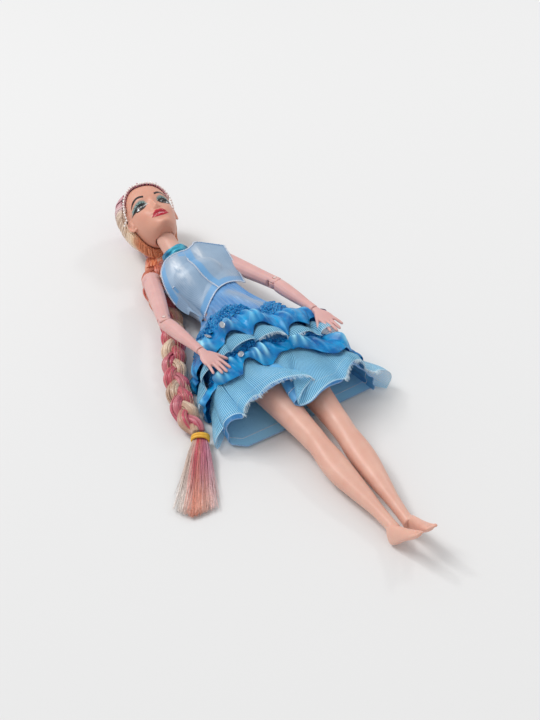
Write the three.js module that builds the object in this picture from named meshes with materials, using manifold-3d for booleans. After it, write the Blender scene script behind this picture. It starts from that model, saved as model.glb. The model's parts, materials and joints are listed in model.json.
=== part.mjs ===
// A jointed fashion doll in a ruffled party dress, lying on its back.
// Lengths are millimetres and angles degrees. X is the doll's left, Y its head, Z up out of its chest.
// It is built with the hip axis at Y = 0 and the table at Z = 0, then moved so that the middle of
// the flat back closure is the origin.
import * as THREE from 'three';
import { mergeVertices } from 'three/addons/utils/BufferGeometryUtils.js';
import Module from 'manifold-3d';

const wasm = await Module();
wasm.setup();

// Driving sizes of the body
const torsoLength = 84;
const chestHalfWidth = 16.2;
const chestDepth = 27;
const hipHeight = 15;
const hipSpacing = 24;
const hipRadius = 10.4;
const shoulderSpacing = 43.5;
const shoulderBallRadius = 5.8;
const neckRadius = 5.4;
const neckLength = 19;
const neckLeanAngle = 18;
const thighLength = 73;
const shinLength = 62.5;
const footLength = 22;
const upperArmLength = 47;
const forearmLength = 38;
const handLength = 21;
const headHeight = 40;
const headHalfWidth = 13.4;
const headDepth = 30;
const wall = 1.8;
const headWall = 1.4;

// Clearances
const gap = 0.3;
const runningGap = 0.2;
const overrun = 3;
const socketRoom = 0.8;
const legRoom = 1.8;

// Pins and rods
const hipAxleRadius = 1.2;
const kneePinRadius = 0.8;
const elbowPinRadius = 0.9;
const shoulderPinRadius = 0.7;
const neckPinRadius = 0.8;
const rodWidth = 2.8;
const rodThickness = 2.2;
const eyeRadius = 2.6;
const eyeThickness = 2.2;

// How the doll lies
const wristHeight = { right: 30.8, left: 29.6 };
const armSpreadAngle = { right: 17.7, left: 12.2 };
const elbowBendAngle = { right: 20, left: 10 };
const handDroopAngle = { right: 10, left: 8.5 };
const handTurnAngle = { right: 3.5, left: -4.6 };
const thighInwardAngle = { right: 2.2, left: 3.8 };
const shinInwardAngle = { right: 2.9, left: 4.6 };
const kneeHeight = 11.6;
const ankleHeight = 6.4;
const footAngle = 52;
const footTurnAngle = { right: 14, left: 8 };
const headPitch = 12;
const headTilt = -3;

// Limits that the shapes make room for
const elbowTravel = 95;
const kneeTravel = 60;
const nodTravel = 16;

// Sizes of the clothes and hair
const clothThickness = 0.6;
const bodiceThickness = 0.8;
const backFlatness = 0.5;
const armholeRoom = 7;
const neckHoleRoom = 2.6;
const closureLength = 56;
const closureWidth = 10;
const closureThickness = 0.6;
const collarHeight = 4.6;
const collarThickness = 0.9;
const skirtLength = 95;
const skirtHalfWidth = 47;
const skirtHeight = 28;
const ruffleDepth = 2.4;
const ruffleFolds = 9;
const hairThickness = 2.8;
const beadRadius = 0.65;
const beadPitch = 1.5;
const braidWidth = 11.5;
const braidThickness = 8.2;
const bandWidth = 4.4;
const tailLength = 48;
const tailSpread = 24;

const rad = Math.PI / 180;
const sides = [['right', -1], ['left', 1]];
const doll = new THREE.Group();

// Materials
const paint = (color, roughness, metalness = 0) =>
  new THREE.MeshStandardMaterial({ color, roughness, metalness });
const bodyPlastic = () => paint(0xd9a594, 0.45);
const armPlastic = () => paint(0xdcab9e, 0.45);
const legVinyl = () => paint(0xe3b08e, 0.5);
const headVinyl = () => paint(0xcf957f, 0.5);
const innerPlastic = () => paint(0xe9e4da, 0.55);
const steel = () => paint(0xb9bcc0, 0.3, 1);
const hairFibre = (color) => paint(color, 0.4);
const satin = (color) => paint(color, 0.3);
const netCloth = (color) => paint(color, 0.75);

// Mesh helpers
function closedGeometry(points, triangles) {
  const geometry = new THREE.BufferGeometry();
  const flat = points.flatMap((p) => [p.x, p.y, p.z]);
  let volume = 0;
  for (const [i, j, k] of triangles) volume += points[i].dot(points[j].clone().cross(points[k]));
  const facing = volume < 0 ? triangles.map(([i, j, k]) => [i, k, j]) : triangles;
  geometry.setAttribute('position', new THREE.Float32BufferAttribute(flat, 3));
  geometry.setIndex(facing.flat());
  return geometry;
}

// A closed body through a list of rings with the same number of points.
function loft(rings) {
  const count = rings[0].length;
  const points = rings.flat();
  const triangles = [];
  for (let r = 0; r + 1 < rings.length; r++) {
    for (let i = 0; i < count; i++) {
      const j = (i + 1) % count;
      const [a, b, c, d] = [r * count + i, r * count + j, (r + 1) * count + j, (r + 1) * count + i];
      triangles.push([a, b, c], [a, c, d]);
    }
  }
  const last = (rings.length - 1) * count;
  for (const [start, flip] of [[0, true], [last, false]]) {
    const centre = new THREE.Vector3();
    for (let i = 0; i < count; i++) centre.add(points[start + i]);
    points.push(centre.divideScalar(count));
    const hub = points.length - 1;
    for (let i = 0; i < count; i++) {
      const j = (i + 1) % count;
      triangles.push(flip ? [start + j, start + i, hub] : [start + i, start + j, hub]);
    }
  }
  return closedGeometry(points, triangles);
}

const power = (value, exponent) => Math.sign(value) * Math.abs(value) ** exponent;

// One ring of a rounded section: across and up are the half axes, low the half depth below.
function sectionRing(centre, across, up, low, count, squareness, axes = worldRingAxes) {
  const ring = [];
  for (let i = 0; i < count; i++) {
    const angle = (2 * Math.PI * i) / count;
    const x = across * power(Math.cos(angle), 2 / squareness);
    const y = (Math.sin(angle) < 0 ? low : up) * power(Math.sin(angle), 2 / squareness);
    ring.push(centre.clone().addScaledVector(axes.x, x).addScaledVector(axes.y, y));
  }
  return ring;
}
const worldRingAxes = { x: new THREE.Vector3(1, 0, 0), y: new THREE.Vector3(0, 0, 1) };
const boneRingAxes = { x: new THREE.Vector3(0, 1, 0), y: new THREE.Vector3(1, 0, 0) };

// Solids for cutting and joining
function toSolid(geometry) {
  const bare = geometry.clone();
  bare.deleteAttribute('normal');
  bare.deleteAttribute('uv');
  const merged = mergeVertices(bare, 1e-4);
  return new wasm.Manifold(new wasm.Mesh({
    numProp: 3,
    vertProperties: new Float32Array(merged.attributes.position.array),
    triVerts: new Uint32Array(merged.index.array),
  }));
}

function toGeometry(solid) {
  const mesh = solid.getMesh();
  const geometry = new THREE.BufferGeometry();
  geometry.setAttribute('position', new THREE.BufferAttribute(mesh.vertProperties, 3));
  geometry.setIndex(new THREE.BufferAttribute(mesh.triVerts, 1));
  return geometry;
}

// A rod along one axis from one value to another.
function rod(axis, radius, from, to, segments = 14) {
  const geometry = new THREE.CylinderGeometry(radius, radius, to - from, segments);
  geometry.translate(0, (from + to) / 2, 0);
  if (axis === 'x') geometry.rotateZ(-Math.PI / 2);
  if (axis === 'z') geometry.rotateX(Math.PI / 2);
  return geometry;
}

function box(low, high) {
  const size = high.map((value, i) => value - low[i]);
  const middle = high.map((value, i) => (value + low[i]) / 2);
  return new THREE.BoxGeometry(...size).translate(...middle);
}

const ball = (radius, centre, detail = 14) =>
  new THREE.SphereGeometry(radius, detail, Math.round(detail * 0.7)).translate(...centre);
const at = (geometry, x, y, z) => geometry.clone().translate(x, y, z);
const joined = (...geometries) => geometries.map(toSolid).reduce((a, b) => a.add(b));

// A prism with its outline in the YZ plane, from one X to another.
function prismAlongX(outline, from, to) {
  const shape = new THREE.Shape(outline.map(([y, z]) => new THREE.Vector2(y, z)));
  const geometry = new THREE.ExtrudeGeometry(shape, { depth: to - from, bevelEnabled: false });
  geometry.applyMatrix4(new THREE.Matrix4().makeBasis(
    new THREE.Vector3(0, 1, 0), new THREE.Vector3(0, 0, 1), new THREE.Vector3(1, 0, 0)));
  return geometry.translate(from, 0, 0);
}

function add(name, shape, material, frame) {
  const geometry = shape.getMesh ? toGeometry(shape) : shape;
  geometry.computeVertexNormals();
  const mesh = new THREE.Mesh(geometry, material);
  mesh.name = name;
  if (frame) mesh.applyMatrix4(frame);
  doll.add(mesh);
  return mesh;
}

// Places that follow from the sizes
const shoulderHeightShare = 0.881;
const shoulder = { y: torsoLength * shoulderHeightShare, z: hipHeight };
const neckBaseShare = 0.952;
const neckBase = new THREE.Vector3(0, torsoLength * neckBaseShare, hipHeight + neckRadius / 10);
const neckDirection = new THREE.Vector3(0, Math.cos(neckLeanAngle * rad), Math.sin(neckLeanAngle * rad));
const headPivot = neckBase.clone().addScaledVector(neckDirection, neckLength);
const headFrame = new THREE.Matrix4()
  .makeTranslation(headPivot.x, headPivot.y, headPivot.z)
  .multiply(new THREE.Matrix4().makeRotationX(headPitch * rad))
  .multiply(new THREE.Matrix4().makeRotationZ(headTilt * rad));
const inHeadFrame = headFrame.clone().invert();

// Torso: heights and half widths as shares of the torso length and the chest, depths of the chest depth
const torsoShares = [
  [0.06, 1.23, 0.1, 0.92], [0.143, 1.2, 0.1, 0.93], [0.214, 1.05, 0.115, 0.88],
  [0.31, 0.815, 0.163, 0.8], [0.405, 0.716, 0.181, 0.763], [0.5, 0.778, 0.156, 0.815],
  [0.595, 0.914, 0.108, 0.944], [0.69, 1, 0.078, 1.06], [0.786, 1.006, 0.078, 1],
  [0.857, 1, 0.1, 0.907], [0.911, 0.94, 0.163, 0.852], [0.952, 0.74, 0.252, 0.822],
  [0.985, 0.46, 0.33, 0.8], [1.01, 0.33, 0.39, 0.8],
];
const torsoSquareness = 2.25;
const torsoSides = 16;
const roundSides = 12;

// The torso's outer form moved outward by an offset, between two shares of its length.
function torsoForm(offset, from = 0, to = 2, stretch = 0) {
  const rows = torsoShares.filter(([share]) => share >= from && share <= to);
  return loft(rows.map(([share, width, back, front], i) => {
    const low = back * chestDepth - offset;
    const high = front * chestDepth + offset;
    const push = i === 0 ? -stretch : i === rows.length - 1 ? stretch : 0;
    const centre = new THREE.Vector3(0, share * torsoLength + push, (low + high) / 2);
    const half = (high - low) / 2;
    return sectionRing(centre, width * chestHalfWidth + offset, half, half, torsoSides, torsoSquareness);
  }));
}

// The neck column runs up to a round end that the head sits on.
function neckColumn(radius, length) {
  const spread = radius * 1.12;
  const column = new THREE.CylinderGeometry(radius, spread, length, torsoSides);
  column.translate(0, length / 2, 0);
  column.rotateX(neckLeanAngle * rad);
  return column.translate(...neckBase);
}

const crotchHalfWidth = hipSpacing * 0.217;
const hipSocketRadius = hipRadius + socketRoom;
const pocketRadius = shoulderBallRadius * 0.73;
const pegFlangeRadius = pocketRadius - gap;
const pegStemRadius = shoulderBallRadius * 0.46;
const pegFlangeThickness = 1.2;
const shoulderFace = shoulderSpacing / 2 - shoulderBallRadius - gap;
const shoulderWall = 1.7;
const pocketOuter = shoulderFace - shoulderWall;
const pocketInner = pocketOuter - pegFlangeThickness - 2 * gap;
const knobStemRadius = neckRadius * 0.44;
const knobTongueThickness = 2.6;

function makeTorso() {
  const crotchRadius = hipSocketRadius - gap;
  let form = toSolid(torsoForm(0))
    .add(toSolid(neckColumn(neckRadius, neckLength)))
    .add(toSolid(ball(neckRadius, headPivot.toArray(), roundSides)));
  const inner = toSolid(torsoForm(-wall, 0, 0.93, -wall))
    .intersect(toSolid(box([-torsoLength, hipSocketRadius + wall, 0],
      [torsoLength, torsoLength, torsoLength])))
    .subtract(toSolid(ball(shoulderBallRadius + gap + wall, [shoulderSpacing / 2, shoulder.y, shoulder.z])))
    .subtract(toSolid(ball(shoulderBallRadius + gap + wall,
      [-shoulderSpacing / 2, shoulder.y, shoulder.z])));
  form = form.subtract(inner);
  const crotch = at(rod('x', crotchRadius, -crotchHalfWidth, crotchHalfWidth, torsoSides), 0, 0, hipHeight);
  for (const [, side] of sides) {
    const socketTo = crotchHalfWidth + chestHalfWidth * 2;
    const socket = joined(rod('x', hipSocketRadius, crotchHalfWidth, socketTo, torsoSides),
      box([crotchHalfWidth - legRoom, 0, hipRadius / 2], [socketTo, hipRadius + gap, chestDepth]));
    const placedSocket = side < 0 ? socket.mirror([1, 0, 0]) : socket;
    form = form.subtract(placedSocket.translate([0, 0, hipHeight]));
    const centre = [side * shoulderSpacing / 2, shoulder.y, shoulder.z];
    form = form.subtract(toSolid(ball(shoulderBallRadius + gap, centre, roundSides)));
    const cuts = joined(rod('x', pocketRadius, pocketInner, pocketOuter),
      rod('x', pegStemRadius + gap, pocketInner, shoulderSpacing / 2));
    const placed = side < 0 ? cuts.rotate([0, 180, 0]) : cuts;
    form = form.subtract(placed.translate([0, shoulder.y, shoulder.z]));
  }
  form = form.add(toSolid(crotch));
  const axleHole = at(rod('x', hipAxleRadius + runningGap, -hipSpacing, hipSpacing, 16), 0, 0, hipHeight);
  const slotHalf = knobTongueThickness / 2 + gap;
  const slot = box([-slotHalf, -neckRadius * 0.5, -neckRadius * 0.62],
    [slotHalf, neckRadius + overrun, neckRadius * 0.62]);
  const pinHole = rod('x', neckPinRadius + runningGap, -neckRadius - overrun, neckRadius + overrun, 12);
  const knobCut = joined(slot, pinHole);
  const placedKnobCut = toSolid(toGeometry(knobCut).applyMatrix4(
    new THREE.Matrix4().makeTranslation(...headPivot).multiply(
      new THREE.Matrix4().makeRotationX(neckLeanAngle * rad))));
  form = form.subtract(toSolid(axleHole)).subtract(placedKnobCut);
  const length = torsoLength * 2;
  const seam = gap / 2;
  const splitAt = hipHeight;
  const frontHalf = box([-length, -length, splitAt + seam], [length, length, length]);
  const backHalf = box([-length, -length, -length], [length, length, splitAt - seam]);
  add('torso_front', form.intersect(toSolid(frontHalf)), bodyPlastic());
  add('torso_back', form.intersect(toSolid(backHalf)), bodyPlastic());
}

// Head: heights as shares of the head height, widths of its half width, depths of its depth
const headShares = [
  [0.005, 0.36, 0.36, 0.2], [0.05, 0.52, 0.43, 0.28], [0.125, 0.68, 0.45, 0.37],
  [0.225, 0.81, 0.447, 0.45], [0.35, 0.92, 0.44, 0.51], [0.49, 0.97, 0.425, 0.545],
  [0.625, 1, 0.43, 0.56], [0.75, 0.97, 0.41, 0.54], [0.865, 0.85, 0.35, 0.47],
  [0.94, 0.64, 0.255, 0.36], [0.985, 0.38, 0.14, 0.22], [1, 0.16, 0.05, 0.1],
];
const headSquareness = 2.2;
const headSides = 16;

function headForm(offset, from = 0, to = 2) {
  const rows = headShares.filter(([share]) => share >= from && share <= to);
  return loft(rows.map(([share, width, front, back], i) => {
    const rise = i === rows.length - 1 ? offset : i === 0 ? -offset : offset * (share - 0.5);
    const centre = new THREE.Vector3(0, share * headHeight + rise, 0);
    const across = width * headHalfWidth + offset;
    return sectionRing(centre, across, front * headDepth + offset, back * headDepth + offset,
      headSides, headSquareness);
  }));
}

const earShares = { height: 0.4, back: -0.03, length: 0.13, thickness: 0.11 };
const noseShares = { height: 0.35, length: 0.115, reach: 0.51, width: 0.13 };
const floorShare = 0.19;
const flangeRadiusShare = 0.45;

function makeHead() {
  const floor = headHeight * floorShare;
  let form = toSolid(headForm(0));
  for (const [, side] of sides) {
    const ear = new THREE.SphereGeometry(1, 10, 8);
    ear.scale(headHalfWidth * earShares.thickness, headHeight * earShares.length / 2,
      headDepth * earShares.length / 2);
    ear.translate(side * headHalfWidth, headHeight * earShares.height, headDepth * earShares.back);
    form = form.add(toSolid(ear));
  }
  const noseTop = new THREE.Vector3(0, headHeight * (noseShares.height + noseShares.length),
    headDepth * 0.4);
  const noseLow = new THREE.Vector3(0, headHeight * noseShares.height, headDepth * noseShares.reach);
  const noseHeight = noseTop.distanceTo(noseLow) * 1.5;
  const nose = new THREE.ConeGeometry(headHalfWidth * noseShares.width, noseHeight, 8);
  nose.applyQuaternion(new THREE.Quaternion().setFromUnitVectors(
    new THREE.Vector3(0, 1, 0), noseTop.clone().sub(noseLow).normalize()));
  nose.translate(...noseTop.clone().add(noseLow).divideScalar(2));
  form = form.add(toSolid(nose));
  const cavity = toSolid(headForm(-headWall, 0.1, 0.99))
    .intersect(toSolid(box([-headDepth, floor, -headDepth], [headDepth, headHeight, headDepth])));
  const cup = ball(neckRadius + gap + runningGap, [0, 0, 0], roundSides);
  const flare = new THREE.CylinderGeometry(neckRadius + gap + runningGap,
    (neckRadius + gap) * 1.12 + neckRadius * Math.sin(nodTravel * rad) * 2, neckRadius * 2, roundSides);
  flare.translate(0, -neckRadius, 0);
  const hole = rod('y', knobStemRadius + runningGap, 0, floor + overrun);
  form = form.subtract(cavity).subtract(joined(cup, flare)).subtract(toSolid(hole));
  add('head_shell', form, headVinyl(), headFrame);

  // The knob swings on a pin in the neck, and its flange holds the head and lets it turn.
  const tongueHalf = knobTongueThickness / 2;
  const stemFrom = neckRadius + gap;
  const tongue = joined(rod('x', knobStemRadius, -tongueHalf, tongueHalf),
    box([-tongueHalf, 0, -knobStemRadius * 0.8], [tongueHalf, stemFrom, knobStemRadius * 0.8]));
  const flangeFrom = floor + gap;
  const stem = rod('y', knobStemRadius, neckRadius - gap, flangeFrom + gap);
  const flange = rod('y', headHalfWidth * flangeRadiusShare, flangeFrom, flangeFrom + headWall);
  const stemRoom = ball(neckRadius + gap / 2, [0, 0, 0], roundSides);
  const knob = toSolid(stem).subtract(toSolid(stemRoom)).add(toSolid(flange)).add(tongue)
    .subtract(toSolid(rod('x', neckPinRadius + runningGap, -neckRadius, neckRadius, 12)));
  add('neck_knob', knob, innerPlastic(), headFrame);
  const pin = rod('x', neckPinRadius, -neckRadius + wall, neckRadius - wall, 12);
  add('neck_pin', at(pin, ...headPivot), steel());
}

// Hair: the hairline is a plane in the head's frame, falling from the forehead to behind the ears
const hairlineTopShare = 0.93;
const hairlineFrontShare = 0.34;
const hairlineEarShare = 0.3;
const hairlineBackShare = -0.1;

function hairlineCut(reach) {
  const top = [headHeight * hairlineTopShare, headDepth * hairlineFrontShare];
  const low = [headHeight * hairlineEarShare, headDepth * hairlineBackShare];
  const along = [top[0] - low[0], top[1] - low[1]];
  const far = [top[0] + along[0] * 2, top[1] + along[1] * 2];
  const under = [low[0] - along[0] * 0.5, low[1] - along[1]];
  const front = headDepth * 2;
  return prismAlongX([under, low, top, far, [far[0], front], [under[0], front]], -reach, reach);
}

// Places down the braid, as shares of the torso length, with the height as a share of its thickness
const braidRouteShares = [
  [-0.0893, 1.179, 0.548], [-0.16, 1.071, 0.524], [-0.219, 0.9405, 0.5], [-0.245, 0.7857, 0.5],
  [-0.267, 0.619, 0.536], [-0.345, 0.4286, 0.571], [-0.436, 0.25, 0.571], [-0.51, 0.08333, 0.571],
  [-0.571, -0.08333, 0.571], [-0.614, -0.25, 0.571], [-0.618, -0.4286, 0.571],
];
const braidRoute = braidRouteShares.map(([x, y, z]) =>
  new THREE.Vector3(x * torsoLength, y * torsoLength, z * braidThickness));
const braidCurve = new THREE.CatmullRomCurve3(braidRoute);
const braidEnd = braidRoute.at(-1);
const tailDirection = new THREE.Vector3(-0.53, -0.85, 0).normalize();

const hairSquareness = 2.2;

// A tube through points of a curve with its half width and half height given by a function.
function softTube(curve, steps, sizeAt, count, from = 0, to = 1) {
  const up = new THREE.Vector3(0, 0, 1);
  const rings = [];
  for (let i = 0; i <= steps; i++) {
    const share = i / steps;
    const t = from + (to - from) * share;
    const tangent = curve.getTangentAt(t);
    const across = new THREE.Vector3().crossVectors(up, tangent).normalize();
    const rise = new THREE.Vector3().crossVectors(tangent, across).normalize();
    const [half, height] = sizeAt(share);
    const axes = { x: across, y: rise };
    rings.push(sectionRing(curve.getPointAt(t), half, height, height, count, hairSquareness, axes));
  }
  return loft(rings);
}

function makeHair() {
  const outer = toSolid(headForm(gap + hairThickness));
  const inner = toSolid(headForm(gap));
  const reach = headHalfWidth * 2;
  const neckRoom = neckRadius + hairThickness * 1.6;
  let cap = outer.subtract(inner).subtract(toSolid(hairlineCut(reach)));
  cap = cap.subtract(toSolid(box([-reach, -reach, -reach], [reach, headHeight * 0.06, reach])));
  cap = cap.subtract(toSolid(rod('y', neckRoom, -reach, headHeight * 0.12)));
  for (const [, side] of sides) {
    const room = new THREE.SphereGeometry(1, 10, 8);
    room.scale(headHalfWidth * earShares.thickness + gap + hairThickness,
      headHeight * earShares.length / 2 + gap, headDepth * earShares.length / 2 + gap);
    room.translate(side * headHalfWidth, headHeight * earShares.height, headDepth * earShares.back);
    cap = cap.subtract(toSolid(room));
  }
  add('hair_cap', cap, hairFibre(0xd7a0a8), headFrame);

  // The gathered hair runs from the back of the head to the first turn of the braid.
  const gatherCurve = new THREE.CatmullRomCurve3([
    new THREE.Vector3(0, headHeight * 0.52, -headDepth * 0.62),
    new THREE.Vector3(0, headHeight * 0.3, -headDepth * 0.58),
    new THREE.Vector3(-headHalfWidth * 0.15, headHeight * 0.08, -headDepth * 0.5),
  ].map((point) => point.applyMatrix4(headFrame)).concat([braidRoute[0].clone()
    .add(new THREE.Vector3(gap * 2, gap * 4, 0))]));
  const gatherSize = (share) => {
    const swell = Math.sin(Math.PI * (0.18 + share * 0.6));
    return [headHalfWidth * 0.74 * swell * (1 - share * 0.45), braidThickness * 0.5 * swell];
  };
  const table = box([-torsoLength, -torsoLength * 2, -torsoLength], [torsoLength, torsoLength * 2, 0]);
  let gather = toSolid(softTube(gatherCurve, 8, gatherSize, 14));
  gather = gather.subtract(toSolid(headForm(gap * 2 + hairThickness).applyMatrix4(headFrame)));
  gather = gather.subtract(toSolid(neckColumn(neckRadius + gap, neckLength)));
  gather = gather.subtract(toSolid(table));
  const pieces = gather.decompose().sort((a, b) => b.volume() - a.volume());
  add('nape_gather', pieces[0], hairFibre(0xd98a5e));

  const lobes = 12;
  const braidSize = (share) => {
    const bulge = 1 - 0.12 * Math.cos(2 * Math.PI * lobes * share);
    const ease = Math.min(1, 0.72 + share * 0.7) * (1 - Math.max(0, share - 0.93) * 2.5);
    return [braidWidth / 2 * bulge * ease, braidThickness / 2 * Math.min(1, bulge) * ease];
  };
  add('braid', softTube(braidCurve, lobes * 4, braidSize, 8, 0.01, 0.978), hairFibre(0xc9828f));

  // The rubber band is a short ring round the end of the braid, and the loose tail follows it.
  const tailStart = braidEnd.clone().addScaledVector(tailDirection, bandWidth + gap * 2);
  const bandCurve = new THREE.CatmullRomCurve3([braidEnd.clone(),
    braidEnd.clone().addScaledVector(tailDirection, bandWidth)]);
  const bandSize = () => [braidWidth * 0.44, braidThickness * 0.42];
  add('braid_band', softTube(bandCurve, 2, bandSize, 14, 0.06), paint(0xe8b13c, 0.5));
  const tailCurve = new THREE.CatmullRomCurve3([tailStart,
    tailStart.clone().addScaledVector(tailDirection, tailLength * 0.4).setZ(braidThickness * 0.5),
    tailStart.clone().addScaledVector(tailDirection, tailLength).setZ(braidThickness * 0.22)]);
  const tailSize = (share) => [
    braidWidth * 0.42 + (tailSpread / 2 - braidWidth * 0.42) * share ** 0.8,
    braidThickness * (0.42 - 0.25 * share),
  ];
  add('braid_tail', softTube(tailCurve, 8, tailSize, 14), hairFibre(0xe7a995));
}

// Beads follow the hairline, a hair's breadth proud of the hair and the forehead.
function makeBeads() {
  const form = toSolid(headForm(gap + beadRadius));
  const top = [headHeight * hairlineTopShare, headDepth * hairlineFrontShare];
  const low = [headHeight * hairlineEarShare, headDepth * hairlineBackShare];
  const normal = new THREE.Vector3(0, -(top[1] - low[1]), top[0] - low[0]).normalize();
  const offset = normal.y * top[0] + normal.z * top[1] + beadRadius + gap;
  const outline = form.rotate([normalTurn(normal), 0, 0]).slice(offset).toPolygons()
    .sort((a, b) => b.length - a.length)[0];
  const back = new THREE.Matrix4().makeRotationX(-normalTurn(normal) * rad);
  const points = outline.map(([x, y]) => new THREE.Vector3(x, y, offset).applyMatrix4(back));
  const curve = new THREE.CatmullRomCurve3(points, true);
  const fine = curve.getSpacedPoints(400);
  const lowest = headHeight * (earShares.height + earShares.length * 0.6);
  const kept = fine.filter((point) => point.y > lowest);
  kept.sort((a, b) => Math.atan2(a.x, a.y - lowest) - Math.atan2(b.x, b.y - lowest));
  const path = new THREE.CatmullRomCurve3(kept.filter((_, i) => i % 6 === 0));
  const beads = Math.floor(path.getLength() / beadPitch);
  const stringShare = 0.45;
  const size = (share) => {
    const wave = Math.round(share * beads * 2) % 2 ? 1 : stringShare;
    return [beadRadius * wave, beadRadius * wave];
  };
  add('bead_string', softTube(path, beads * 2, size, 6, 0, 1), paint(0xfbf6f2, 0.25), headFrame);
}
const normalTurn = (normal) => Math.atan2(normal.y, normal.z) / rad;

// Local frame of a bone: Z runs along it, X is its hinge axis.
function boneFrame(origin, direction, hinge) {
  const z = direction.clone().normalize();
  const x = hinge.clone().addScaledVector(z, -hinge.dot(z)).normalize();
  const y = new THREE.Vector3().crossVectors(z, x);
  return new THREE.Matrix4().makeBasis(x, y, z).setPosition(origin);
}

function armDirection(side, spread, swing) {
  return new THREE.Vector3(side * Math.sin(spread * rad), -Math.cos(spread * rad) * Math.cos(swing * rad),
    Math.cos(spread * rad) * Math.sin(swing * rad));
}

// Half sizes of the limbs along each bone: place, across the hinge, and along the hinge
const upperArmShares = [[-0.03, 0.86, 0.8], [0.08, 1.02, 0.98], [0.25, 1, 0.96], [0.5, 0.93, 0.9],
  [0.75, 0.82, 0.8], [0.93, 0.76, 0.76], [1.09, 0.76, 0.76]];
const forearmShares = [[-0.1, 0.74, 0.74], [0.06, 0.78, 0.76], [0.25, 0.8, 0.78], [0.5, 0.72, 0.68],
  [0.8, 0.54, 0.5], [0.99, 0.48, 0.44]];
const armRadius = 5;
const armSides = 12;
const elbowRadius = 3.6;
const tongueHalfThickness = 1.4;
const wristPegRadius = 1.1;
const wristPegLength = 3.2;

function boneLoft(shares, length, radius, sidesCount) {
  return loft(shares.map(([place, across, along]) => sectionRing(
    new THREE.Vector3(0, 0, place * length), across * radius, along * radius, along * radius,
    sidesCount, 2, boneRingAxes)));
}

// What a hinge takes away from the bone above it: everything beyond the mitre, on the bending side.
function mitreOutline(bend, travel, reach, start) {
  const lean = Math.tan(travel / 2 * rad) * reach;
  return [[-bend * reach, start], [0, start], [bend * reach, start - lean],
    [bend * reach, reach * 2], [-bend * reach, reach * 2]];
}

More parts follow.
